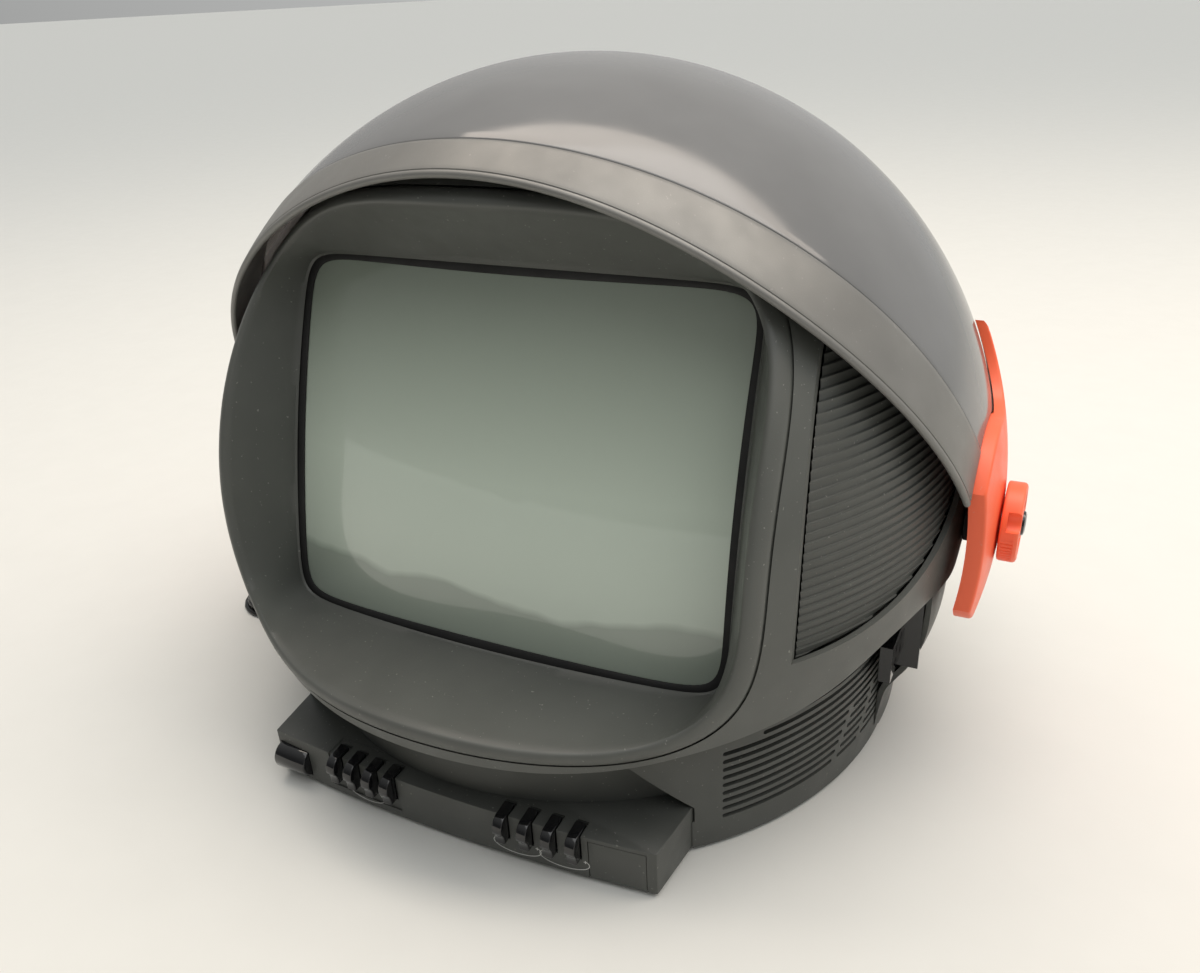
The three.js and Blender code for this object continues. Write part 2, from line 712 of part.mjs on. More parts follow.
for (const side of [-1, 1]) {
  const hand = side > 0 ? 'right' : 'left';
  const [near, far] = side > 0 ? [180, 300] : [-300, -180];
  const outline = solid(acrossX(coverOutline(), near, far, 10), placed(0, HINGE_Y, HINGE_Z));
  const disc = solid(acrossX(coverDisc(), near, far, 10), placed(0, HINGE_Y, HINGE_Z));
  const outerBall = headBall(COVER_OUTER_R, 64, 32);
  const plate = outerBall.subtract(headBall(COVER_INNER_R, 64, 32)).intersect(outline);
  const core = outerBall.subtract(headBall(COVER_CORE_R, 64, 32)).intersect(disc);
  const bore = turnedOnHinge([[225, 0], [225, BUSH_R + GAP], [270, BUSH_R + GAP], [270, 0]], side, 16);
  add(`hinge_cover_${hand}`, surface(plate.add(core).subtract(solid(bore))), orange);

  const bushProfile = [[246.2, BOLT_R + GAP], [246.2, BUSH_R], [254.6, BUSH_R]];
  bushProfile.push([254.6, BOLT_R + GAP], [246.2, BOLT_R + GAP]);
  add(`hinge_bush_${hand}`, turnedOnHinge(bushProfile, side, 16), steel);

  const washerProfile = [[WASHER_IN_X, BOLT_R + GAP], [WASHER_IN_X, WASHER_R], [WASHER_OUT_X, WASHER_R]];
  washerProfile.push([WASHER_OUT_X, BOLT_R + GAP], [WASHER_IN_X, BOLT_R + GAP]);
  add(`friction_washer_${hand}`, turnedOnHinge(washerProfile, side, 16), rubber);

  const boltProfile = [[227, 0], [227, 9], [231.3, 9], [231.3, BOLT_R], [262.5, BOLT_R], [262.5, 0]];
  add(`hinge_bolt_${hand}`, turnedOnHinge(boltProfile, side, 16), steel);

  add(`hinge_knob_${hand}`, surface(knobSolid(side)), orange);

  const capProfile = [[265, 0], [265, 7], [267, 7], [267.8, 5], [268, 0]];
  add(`knob_cap_${hand}`, turnedOnHinge(capProfile, side, 16), glossBlack);
}

// ---------- plan of the control bar ----------

// The front face bows forward in the middle.
function barFrontY(x) {
  return BAR_MIDDLE_Y + (BAR_CORNER_Y - BAR_MIDDLE_Y) * (x / BAR_HALF_W) ** 2;
}

// The bar's plan, drawn in from its walls by an inset. Its back is hidden inside the drum.
function barOutline(inset) {
  const half = BAR_HALF_W - inset;
  const steps = 14;
  const shape = new THREE.Shape();
  for (let i = 0; i <= steps; i += 1) {
    const x = -half + (2 * half * i) / steps;
    if (i === 0) shape.moveTo(x, barFrontY(x) + inset);
    else shape.lineTo(x, barFrontY(x) + inset);
  }
  shape.lineTo(half + BAR_FLARE, BAR_BACK_Y - inset);
  shape.lineTo(-half - BAR_FLARE, BAR_BACK_Y - inset);
  return shape;
}

let bar = solid(upright(barOutline(0), BAR_BOTTOM, BAR_TOP));
bar = bar.subtract(solid(upright(barOutline(BAR_WALL), BAR_BOTTOM - 5, BAR_TOP - BAR_WALL)));
// The drum and the base plate are cut away in front for the bar.
const barClear = solid(upright(barOutline(-GAP), -5, BAR_TOP + GAP)).add(
  solid(box(-BAR_HALF_W - GAP, BAR_HALF_W + GAP, -215, BAR_CORNER_Y, -5, BAR_TOP + GAP)),
);

// ---------- base ----------

const belowJaw = aboveJaw(-1.6);

// A ring sector about the base's centre, seen from above. Angles run from the front.
function arcBand(innerR, outerR, fromAngle, toAngle, z0, z1, segments = 4) {
  const shape = new THREE.Shape();
  shape.absarc(0, 0, outerR, fromAngle - Math.PI / 2, toAngle - Math.PI / 2, false);
  shape.absarc(0, 0, innerR, toAngle - Math.PI / 2, fromAngle - Math.PI / 2, true);
  shape.closePath();
  return solid(upright(shape, z0, z1, segments));
}

const outerDrum = solid(
  new THREE.CylinderGeometry(BASE_R, BASE_R, BASE_TOP - BASE_BOTTOM, 48),
  placed(0, 0, (BASE_TOP + BASE_BOTTOM) / 2, Math.PI / 2),
);
const innerDrum = solid(
  new THREE.CylinderGeometry(BASE_R - WALL, BASE_R - WALL, 300, 36),
  placed(0, 0, 100, Math.PI / 2),
);

// Above the bar the drum's wall is set back, in a bay that narrows towards the head.
function frontBay(inset) {
  const low = BAR_HALF_W + 6 + inset;
  const high = 96 + inset;
  const shape = new THREE.Shape();
  shape.moveTo(-low, BAR_TOP - 10);
  shape.lineTo(low, BAR_TOP - 10);
  shape.lineTo(low, BAR_TOP);
  shape.lineTo(high, 76);
  shape.lineTo(high, 140);
  shape.lineTo(-high, 140);
  shape.lineTo(-high, 76);
  shape.lineTo(-low, BAR_TOP);
  const wall = new THREE.CylinderGeometry(FRONT_WALL_R - inset, FRONT_WALL_R - inset, 300, 60);
  return solid(acrossY(shape, -230, -100)).subtract(solid(wall, placed(0, 0, 100, Math.PI / 2)));
}
let drum = outerDrum
  .subtract(frontBay(0))
  .subtract(innerDrum.subtract(frontBay(WALL)))
  .subtract(belowJaw);

// Long louvres on both sides; the two highest start further back under the head.
for (let row = 0; row < SLOT_COUNT; row += 1) {
  const middle = SLOT_LOWEST + row * SLOT_PITCH;
  const start = radians(45.5 + Math.max(0, row - 8) * 7);
  for (const side of [-1, 1]) {
    const from = side > 0 ? start : -radians(86);
    const to = side > 0 ? radians(86) : -start;
    const [low, high] = [middle - SLOT_HEIGHT / 2, middle + SLOT_HEIGHT / 2];
    drum = drum.subtract(arcBand(BASE_R - 8, BASE_R + 8, from, to, low, high, 2));
  }
}
drum = drum.subtract(barClear);
add('base_drum', surface(drum), anthraciteDark);

const plateProfile = [
  [0, 0],
  [REST_PAD_R, 0],
  [REST_PAD_R + 2, 2.6],
  [BASE_R - WALL - 1.5, 2.6],
  [BASE_R - WALL - 1.5, 5.4],
  [0, 5.4],
].map(([r, z]) => new THREE.Vector2(r, z));
function turnedUpright(points, segments) {
  const lathe = new THREE.LatheGeometry(points, segments).rotateX(Math.PI / 2);
  return closedSurface([...lathe.attributes.position.array], [...lathe.index.array]);
}
// The middle of the base plate is a flat pad that reaches the table, as the feet do.
const basePlate = solid(turnedUpright(plateProfile, 32)).subtract(barClear);
add('base_plate', surface(basePlate), anthraciteDark);

const FOOT_R = 11;
const FOOT_CIRCLE = 172;
for (const [angle, name] of [
  [42, 'foot_rear_right'],
  [138, 'foot_rear_left'],
  [222, 'foot_front_left'],
  [318, 'foot_front_right'],
]) {
  const footProfile = [
    [0, 0],
    [FOOT_R - 1, 0],
    [FOOT_R, 1],
    [FOOT_R, 2.25],
    [0, 2.25],
  ].map(([r, z]) => new THREE.Vector2(r, z));
  const foot = add(name, turnedUpright(footProfile, 14), rubber);
  foot.position.set(FOOT_CIRCLE * Math.cos(radians(angle)), FOOT_CIRCLE * Math.sin(radians(angle)), 0);
}

// ---------- rear cover ----------

// The bowl-shaped cover behind the drum, turned about the head's upright axis.
const BOWL = [
  [0, 2.4],
  [203, 2.4],
  [205, 20],
  [208.4, 38],
  [213.4, 47],
  [219.4, 57],
  [224.6, 69],
  [227.8, 82],
  [228.8, 94],
  [228.8, 120],
  [0, 120],
];
function bowl(inset) {
  const points = BOWL.map(([r, z]) => new THREE.Vector2(Math.max(0, r - inset), z + (z < 100 ? inset : 20)));
  return solid(turnedUpright(points, 40), placed(0, HINGE_Y, 0));
}
const drumClear = new THREE.CylinderGeometry(BASE_R + GAP, BASE_R + GAP, 400, 48);
let rearCover = bowl(0)
  .subtract(bowl(WALL))
  .subtract(solid(drumClear, placed(0, 0, 100, Math.PI / 2)))
  .subtract(belowJaw)
  .subtract(solid(box(-300, 300, -300, REAR_COVER_FRONT_Y, -10, 300)));
const REAR_VENTS = 4;
for (let i = 0; i < REAR_VENTS; i += 1) {
  for (const side of [-1, 1]) {
    const slot = new THREE.BoxGeometry(3.2, 40, 34);
    const angle = radians(12 + i * 3.2);
    const x = side * 228 * Math.cos(angle);
    const y = HINGE_Y + 228 * Math.sin(angle);
    rearCover = rearCover.subtract(solid(slot, placed(x, y, 62, 0, 0, side * (angle - Math.PI / 2))));
  }
}
const SOCKET_WINDOW = { x0: -60, x1: 40, z0: 30, z1: 72 };
const socketWindow = box(SOCKET_WINDOW.x0, SOCKET_WINDOW.x1, 200, 300, SOCKET_WINDOW.z0, SOCKET_WINDOW.z1);
rearCover = rearCover.subtract(solid(socketWindow));
const RELIEF_X = -92;
const RELIEF_Z = 20;
const reliefHole = new THREE.CylinderGeometry(4.4, 4.4, 60, 20);
const reliefY = HINGE_Y + Math.sqrt(205 ** 2 - RELIEF_X ** 2);
rearCover = rearCover.subtract(solid(reliefHole, placed(RELIEF_X, reliefY, RELIEF_Z)));
add('rear_cover', surface(rearCover), anthraciteDark);

// Recessed plate behind the socket window, with the aerial and audio sockets.
const SOCKET_PLATE_Y = 212;
let socketPlate = solid(box(-58, 38, SOCKET_PLATE_Y - 3, SOCKET_PLATE_Y, 32, 70));
const SOCKETS = [
  ['aerial_socket', -38, 7],
  ['audio_socket', 8, 5],
];
for (const [name, x, radius] of SOCKETS) {
  const hole = new THREE.CylinderGeometry(radius + GAP, radius + GAP, 20, 20);
  socketPlate = socketPlate.subtract(solid(hole, placed(x, SOCKET_PLATE_Y, 51)));
  const profile = [[radius - 2, 0], [radius, 0], [radius, 12], [radius - 2, 12], [radius - 2, 0]];
  const lathe = new THREE.LatheGeometry(profile.map(([r, y]) => new THREE.Vector2(r, y)), 20);
  const socket = add(name, closedSurface([...lathe.attributes.position.array], [...lathe.index.array]), steel);
  socket.position.set(x, SOCKET_PLATE_Y - 6, 51);
}
add('socket_plate', surface(socketPlate), glossBlack);

// Side recesses between the drum and the rear cover, each with two small jacks.
const JACK_FRONT = { in: 204, out: 211, y0: -44, y1: -22, low: 60, high: 84 };
const JACK_BACK = { in: 205, out: 223, y0: -24, y1: -21.6, low: 60, high: 105 };
const JACK_HEIGHTS = [67, 76];
const JACK_R = 2.6;
for (const side of [-1, 1]) {
  const hand = side > 0 ? 'right' : 'left';
  const slabs = [];
  for (const slab of [JACK_FRONT, JACK_BACK]) {
    const x0 = Math.min(side * slab.in, side * slab.out);
    const x1 = Math.max(side * slab.in, side * slab.out);
    slabs.push(solid(box(x0, x1, slab.y0, slab.y1, slab.low, slab.high)));
  }
  let plate = slabs[0].add(slabs[1]);
  for (const z of JACK_HEIGHTS) {
    const jackHole = new THREE.CylinderGeometry(JACK_R, JACK_R, 12, 16);
    plate = plate.subtract(solid(jackHole, placed(side * JACK_FRONT.out, -31, z, 0, 0, Math.PI / 2)));
  }
  add(`side_jack_panel_${hand}`, surface(plate.subtract(belowJaw)), glossBlack);
}

// ---------- control bar ----------

const KEY_LOW = 15.5;
const KEY_TOP = 33.6;
const KEY_REACH = 8.5;
for (const x of KEY_POSITIONS) {
  const clear = KEY_WIDTH / 2 + 0.5;
  const back = barFrontY(x) + KEY_REACH + KEY_TRAVEL + 0.6;
  bar = bar.subtract(solid(box(x - clear, x + clear, -215, back, KEY_LOW - 0.6, 40)));
}
bar = bar.subtract(solid(box(POWER_LEFT, POWER_RIGHT, -215, -180, BAR_BOTTOM - 3, BAR_TOP - BAR_WALL)));
const WINDOW_LEFT = -123.5;
const WINDOW_RIGHT = -100.5;
const WINDOW_R = 8.6;
const WINDOW_Z = 15.6;
const windowHole = box(WINDOW_LEFT - GAP, WINDOW_RIGHT + GAP, -215, -184, WINDOW_Z - 9, WINDOW_Z + 9);
add('control_bar', surface(bar.subtract(solid(windowHole))), anthracite);

// Half-round infrared window.
const windowShape = new THREE.Shape();
windowShape.moveTo(-185, WINDOW_Z - WINDOW_R);
windowShape.lineTo(-185, WINDOW_Z + WINDOW_R);
windowShape.lineTo(-191, WINDOW_Z + WINDOW_R);
windowShape.absarc(-191, WINDOW_Z, WINDOW_R, Math.PI / 2, (3 * Math.PI) / 2, false);
add('infrared_window', acrossX(windowShape, WINDOW_LEFT, WINDOW_RIGHT, 10), glossBlack);

// Hooked keys: a tab on the top face that curls over the front.
const KEY_NOSE = 7;
KEY_POSITIONS.forEach((x, i) => {
  const front = barFrontY(x);
  const shape = new THREE.Shape();
  shape.moveTo(front + KEY_REACH, KEY_TOP);
  shape.lineTo(front + KEY_REACH, KEY_TOP - 6);
  shape.lineTo(front + 3, KEY_TOP - 8);
  shape.lineTo(front + 3, KEY_LOW);
  shape.lineTo(front - KEY_NOSE + 1.5, KEY_LOW);
  shape.quadraticCurveTo(front - KEY_NOSE + 2.5, 18, front - KEY_NOSE - 0.5, 24);
  shape.quadraticCurveTo(front - KEY_NOSE - 1.5, KEY_TOP - 3, front - 2, KEY_TOP - 0.6);
  shape.lineTo(front + KEY_REACH, KEY_TOP);
  const key = acrossX(shape, x - KEY_WIDTH / 2, x + KEY_WIDTH / 2, 4);
  add(`key_${i + 1}`, key, glossBlack);
});

// Wide power button, flush with the front of the bar.
const power = new THREE.Shape();
const powerLeft = POWER_LEFT + GAP;
const powerRight = POWER_RIGHT - GAP;
power.moveTo(powerLeft, barFrontY(powerLeft));
power.lineTo((powerLeft + powerRight) / 2, barFrontY((powerLeft + powerRight) / 2));
power.lineTo(powerRight, barFrontY(powerRight));
power.lineTo(powerRight, -184.5);
power.lineTo(powerLeft, -184.5);
power.closePath();
add('power_button', upright(power, BAR_BOTTOM + 0.6, BAR_TOP - BAR_WALL - GAP), anthracite);

// ---------- inside the base ----------

add('main_board', box(-120, 90, -60, 120, 14, 15.6), circuitGreen);
add('flyback_transformer', box(-40, -2, 60, 98, 16, 66), paper);
add('tuner_box', box(35, 80, 78, 112, 16, 34), steel);

for (const side of [-1, 1]) {
  const profile = [
    [0, 0],
    [18, 0],
    [18, 14],
    [38, 26],
    [38, 29],
    [16, 16],
    [0, 16],
  ].map(([r, y]) => new THREE.Vector2(r, y));
  const lathe = new THREE.LatheGeometry(profile, 16);
  const body = closedSurface([...lathe.attributes.position.array], [...lathe.index.array]);
  const speaker = add(side > 0 ? 'speaker_right' : 'speaker_left', body, paper);
  speaker.position.set(side * 138, -78, 50);
  speaker.rotation.z = side * radians(-119.5);
}

// ---------- mains lead ----------

const reliefProfile = [
  [CORD_D / 2 + 0.1, 0],
  [6.4, 0],
  [6.4, 2],
  [4.2, 2.4],
  [2.9, 24],
  [CORD_D / 2 + 0.1, 24],
  [CORD_D / 2 + 0.1, 0],
].map(([r, y]) => new THREE.Vector2(r, y));
const reliefLathe = new THREE.LatheGeometry(reliefProfile, 12);
const reliefStart = reliefY + 4;
const relief = add(
  'strain_relief',
  closedSurface([...reliefLathe.attributes.position.array], [...reliefLathe.index.array]),
  rubber,
);
relief.position.set(RELIEF_X, reliefStart, RELIEF_Z);

// The lead's route from the end of the strain relief down to the table and round to the coil.
const CORD_R = CORD_D / 2;
const CORD_ROUTE = [
  [RELIEF_X, reliefStart + 24.4, RELIEF_Z],
  [RELIEF_X, reliefStart + 36, 18.5],
  [RELIEF_X - 4, reliefStart + 50, 12],
  [RELIEF_X - 14, reliefStart + 61, 6],
  [RELIEF_X - 32, reliefStart + 64, 2.6],
  [RELIEF_X - 62, reliefStart + 52, 2],
  [-190, 232, 2],
  [-226, 186, 2],
  [-254, 132, 2],
  [-272, 78, 2],
  [-285, 30, 2],
  [-291, -4, 2],
  [-291.7, -36, 2],
].map(([x, y, z]) => new THREE.Vector3(x, y, z));
const cordSection = new THREE.Shape();
for (let i = 0; i < CORD_SIDES; i += 1) {
  const angle = ((i + 0.5) / CORD_SIDES) * 2 * Math.PI;
  const point = [CORD_R * Math.cos(angle), CORD_R * Math.sin(angle)];
  if (i === 0) cordSection.moveTo(...point);
  else cordSection.lineTo(...point);
}
cordSection.closePath();
const cordPath = new THREE.CatmullRomCurve3(CORD_ROUTE, false, 'centripetal');
const cordTube = new THREE.ExtrudeGeometry(cordSection, { steps: 44, extrudePath: cordPath, bevelEnabled: false });
add('mains_cord', cordTube, rubber);

// The coil's outer shape: four turns high and three across.
const COIL_INNER_R = COIL_MID_R - 1.5 * CORD_D;
const COIL_OUTER_R = COIL_MID_R + 1.5 * CORD_D;
const COIL_HEIGHT = 4 * CORD_D;
const coilProfile = [
  [COIL_INNER_R, 0.1],
  [COIL_OUTER_R, 0.1],
  [COIL_OUTER_R, COIL_HEIGHT],
  [COIL_INNER_R, COIL_HEIGHT],
  [COIL_INNER_R, 0.1],
].map(([r, z]) => new THREE.Vector2(r, z));
const coil = add('mains_cord_coil', turnedUpright(coilProfile, 24), rubber);
coil.position.set(COIL_CENTRE[0], COIL_CENTRE[1], 0);

// Flat plug with two blades, lying beside the coil.
const plugBody = solid(box(-11, 11, -9, 9, 0.2, 13)).add(solid(box(-4.5, 4.5, -16, -8, 3, 10)));
const blade = (x) => solid(box(x - 0.8, x + 0.8, 8.5, 26, 3.4, 9.8));
const plug = plugBody.add(blade(-6.35)).add(blade(6.35));
const plugMesh = add('mains_plug', surface(plug), rubber);
plugMesh.position.set(-252, 30, 0);
plugMesh.rotation.z = radians(12);

export default television;
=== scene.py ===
import json
import math

import bmesh
import bpy
from mathutils import Matrix, Vector, geometry


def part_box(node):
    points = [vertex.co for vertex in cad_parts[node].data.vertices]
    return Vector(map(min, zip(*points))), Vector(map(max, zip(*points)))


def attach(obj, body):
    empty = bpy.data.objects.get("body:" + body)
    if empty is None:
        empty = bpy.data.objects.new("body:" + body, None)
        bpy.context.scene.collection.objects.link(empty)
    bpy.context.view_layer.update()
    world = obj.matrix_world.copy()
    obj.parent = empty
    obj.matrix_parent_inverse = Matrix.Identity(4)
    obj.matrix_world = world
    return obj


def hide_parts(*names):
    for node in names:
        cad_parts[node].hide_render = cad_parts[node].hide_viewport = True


# A portable television with a ball-shaped head, a swing-up visor and a round base, dressed
# round its CAD frame. Shapes below are written in millimetres, in the frame's own axes.

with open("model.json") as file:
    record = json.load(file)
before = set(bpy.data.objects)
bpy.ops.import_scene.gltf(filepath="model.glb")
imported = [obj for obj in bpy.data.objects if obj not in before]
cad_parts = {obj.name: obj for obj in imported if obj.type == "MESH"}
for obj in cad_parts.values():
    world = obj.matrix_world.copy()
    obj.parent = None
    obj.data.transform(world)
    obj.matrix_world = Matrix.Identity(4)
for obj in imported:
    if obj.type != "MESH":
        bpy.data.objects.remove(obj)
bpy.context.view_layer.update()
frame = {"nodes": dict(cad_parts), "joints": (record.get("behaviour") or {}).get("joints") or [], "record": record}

MM = 0.001
HINGE = Vector(next(j for j in frame["joints"] if j["name"] == "visor_tilt")["pos_m"]) / MM
LEAN = math.radians(16.5)
HEAD_FRAME = Matrix.Translation(HINGE) @ Matrix.Rotation(-LEAN, 4, "X")
GAP = 0.35
WALL = 3.0
BOLT_R = 5.0
BUSH_R = 8.0
SIDES = ((-1, "left"), (1, "right"))


# ---------- camera, floor and light ----------

def make_camera():
    """The photograph's angle: from above the front right, with a slight roll. Metres."""
    place = (0.28033, -0.534, 0.43051)
    azimuth = math.radians(27.081)
    elevation = math.radians(26.5)
    roll = math.radians(-3.021)
    back = Vector((math.sin(azimuth) * math.cos(elevation),
                   -math.cos(azimuth) * math.cos(elevation),
                   math.sin(elevation)))
    right = (-back).cross(Vector((0, 0, 1))).normalized()
    up = back.cross(right)
    level = right * math.cos(roll) + up * math.sin(roll)
    upright = up * math.cos(roll) - right * math.sin(roll)
    data = bpy.data.cameras.new("camera")
    data.sensor_width = 36
    data.lens = 30.28
    data.clip_start = 0.01
    camera = bpy.data.objects.new("camera", data)
    turn = Matrix((level, upright, back)).transposed().to_4x4()
    camera.matrix_world = Matrix.Translation(place) @ turn
    bpy.context.collection.objects.link(camera)
    bpy.context.scene.camera = camera


def add_light(name, kind, power, colour=(1, 1, 1)):
    """A light that the caller then sizes and places."""
    data = bpy.data.lights.new(name, kind)
    data.energy = power
    data.color = colour
    light = bpy.data.objects.new(name, data)
    bpy.context.collection.objects.link(light)
    return light


def dim_the_room():
    """A soft room that is darker in front and low down, and brighter behind and above."""
    world = bpy.data.worlds.new("studio")
    bpy.context.scene.world = world
    world.use_nodes = True
    nodes = world.node_tree.nodes
    links = world.node_tree.links
    place = nodes.new("ShaderNodeTexCoord")
    facing = nodes.new("ShaderNodeVectorMath")
    facing.operation = "DOT_PRODUCT"
    facing.inputs[1].default_value = (0.30, 0.62, 0.72)
    links.new(place.outputs["Generated"], facing.inputs[0])
    strength = ranged(nodes, links, facing.outputs["Value"], 0.12, 0.74, -0.45, 0.75)
    nodes["Background"].inputs["Color"].default_value = (0.88, 0.89, 0.88, 1)
    links.new(strength, nodes["Background"].inputs["Strength"])


def light_the_set():
    """A dim room, a broad soft light from above, and a warm panel overhead."""
    dim_the_room()
    # The panel shows as the pale crescent behind the visor's band.
    panel = add_light("overhead_panel", "AREA", 36, (1, 0.88, 0.76))
    panel.data.shape = "RECTANGLE"
    panel.data.size = 3.3
    panel.data.size_y = 0.9
    panel.location = (0.5, 0.455, 2.0)
    panel.rotation_euler = (0, 0, math.radians(8.5))
    sky = add_light("high_soft_light", "SUN", 1.1)
    sky.data.angle = math.radians(64)
    sky.rotation_euler = (math.radians(4), math.radians(14), 0)
    bpy.context.scene.view_settings.view_transform = "Standard"


def make_floor():
    """A wide plain floor."""
    bpy.ops.mesh.primitive_circle_add(vertices=96, radius=60, fill_type="NGON", location=(0, 0, 0))
    floor = bpy.context.object
    floor.name = "studio_floor"
    paint = plastic("floor_paint", (0.70, 0.698, 0.665), 0.75, grain=0.02, mottle=0.008)
    floor.data.materials.append(paint)


# ---------- materials ----------

def tree(name):
    """A new material with its nodes, its links and its main shader."""
    material = bpy.data.materials.new(name)
    material.use_nodes = True
    nodes = material.node_tree.nodes
    return material, nodes, material.node_tree.links, nodes["Principled BSDF"]


def noise(nodes, links, scale, detail=2.0, roughness=0.5):
    """Noise in the frame's own coordinates. The scale is in waves per metre."""
    place = nodes.new("ShaderNodeTexCoord")
    texture = nodes.new("ShaderNodeTexNoise")
    texture.inputs["Scale"].default_value = scale
    texture.inputs["Detail"].default_value = detail
    texture.inputs["Roughness"].default_value = roughness
    links.new(place.outputs["Object"], texture.inputs["Vector"])
    return texture.outputs["Fac"]


def ranged(nodes, links, value, low, high, from_low=0.3, from_high=0.7):
    """Spreads a value between two limits over the range from low to high."""
    node = nodes.new("ShaderNodeMapRange")
    node.inputs["From Min"].default_value = from_low
    node.inputs["From Max"].default_value = from_high
    node.inputs["To Min"].default_value = low
    node.inputs["To Max"].default_value = high
    links.new(value, node.inputs["Value"])
    return node.outputs["Result"]


def blended(nodes, links, factor, first, second):
    """Mixes two colours, each a plain colour or a node's output."""
    node = nodes.new("ShaderNodeMix")
    node.data_type = "RGBA"
    for socket, value in ((node.inputs[6], first), (node.inputs[7], second)):
        if isinstance(value, tuple):
            socket.default_value = (*value, 1)
        else:
            links.new(value, socket)
    links.new(factor, node.inputs[0])
    return node.outputs[2]


def plastic(name, colour, roughness, grain=0.25, grain_scale=1500, mottle=0.1, specks=0.0,
            metallic=0.0, coat=0.0, ior=1.46):
    """Moulded plastic or paint: cloudy colour, uneven gloss, fine texture and a little dust."""
    material, nodes, links, shader = tree(name)
    clouds = noise(nodes, links, 22, 3)
    darker = tuple(c * (1 - mottle) for c in colour)
    lighter = tuple(min(1, c * (1 + mottle)) for c in colour)
    tint = blended(nodes, links, ranged(nodes, links, clouds, 0, 1), darker, lighter)
    if specks:
        dust = ranged(nodes, links, noise(nodes, links, 520, 1), 0, specks, 0.735, 0.78)
        tint = blended(nodes, links, dust, tint, (0.55, 0.54, 0.50))
    links.new(tint, shader.inputs["Base Color"])
    gloss = ranged(nodes, links, noise(nodes, links, 60, 4), roughness * 0.85, min(1, roughness * 1.15))
    links.new(gloss, shader.inputs["Roughness"])
    bump = nodes.new("ShaderNodeBump")
    bump.inputs["Strength"].default_value = grain
    bump.inputs["Distance"].default_value = 0.0002
    links.new(noise(nodes, links, grain_scale, 3, 0.6), bump.inputs["Height"])
    links.new(bump.outputs["Normal"], shader.inputs["Normal"])
    shader.inputs["Metallic"].default_value = metallic
    shader.inputs["Coat Weight"].default_value = coat
    shader.inputs["Coat Roughness"].default_value = 0.03
    shader.inputs["IOR"].default_value = ior
    return material


def smoked(name, colour, opacity):
    """Glossy smoked plastic that lets some light through."""
    material = plastic(name, colour, 0.12, grain=0.02, grain_scale=300, mottle=0.05, ior=1.6)
    nodes = material.node_tree.nodes
    links = material.node_tree.links
    clear = nodes.new("ShaderNodeBsdfTransparent")
    clear.inputs["Color"].default_value = (0.60, 0.50, 0.46, 1)
    mix = nodes.new("ShaderNodeMixShader")
    haze = ranged(nodes, links, noise(nodes, links, 9, 2), opacity - 0.03, opacity + 0.03)
    links.new(haze, mix.inputs[0])
    links.new(clear.outputs[0], mix.inputs[1])
    links.new(nodes["Principled BSDF"].outputs[0], mix.inputs[2])
    links.new(mix.outputs[0], nodes["Material Output"].inputs["Surface"])
    return material


def tube_glass():
    """The picture tube's face: grey-green phosphor under polished glass, with painted shade and a painted
    reflection of the visor darkening it towards the top.
    """
    material, nodes, links, shader = tree("tube_face_glass")
    place = nodes.new("ShaderNodeTexCoord")
    split = nodes.new("ShaderNodeSeparateXYZ")
    links.new(place.outputs["Object"], split.inputs[0])
    # Painted shade: the glass gets darker towards the top, standing in for the visor's shadow and its reflection.
    rise = ranged(nodes, links, split.outputs["Z"], 0, 1, 0.19, 0.335)
    tint = blended(nodes, links, rise, (0.56, 0.64, 0.545), (0.13, 0.155, 0.125))
    # A wavy line low on the glass, darker beneath it.
    wave = nodes.new("ShaderNodeMath")
    wave.operation = "MULTIPLY_ADD"
    wave.inputs[1].default_value = 0.035
    links.new(noise(nodes, links, 9, 3), wave.inputs[0])
    links.new(split.outputs["Z"], wave.inputs[2])
    above = ranged(nodes, links, wave.outputs[0], 0, 1, 0.142, 0.146)
    tint = blended(nodes, links, above, (0.33, 0.38, 0.32), tint)
    clouds = ranged(nodes, links, noise(nodes, links, 5, 1), 0, 0.06, 0.2, 0.9)
    tint = blended(nodes, links, clouds, tint, (0.34, 0.36, 0.31))
    links.new(tint, shader.inputs["Base Color"])
    smears = ranged(nodes, links, noise(nodes, links, 30, 4), 0.2, 0.26)
    links.new(smears, shader.inputs["Roughness"])
    shader.inputs["Coat Weight"].default_value = 1
    shader.inputs["Coat Roughness"].default_value = 0.02
    shader.inputs["Coat IOR"].default_value = 1.5
    return material


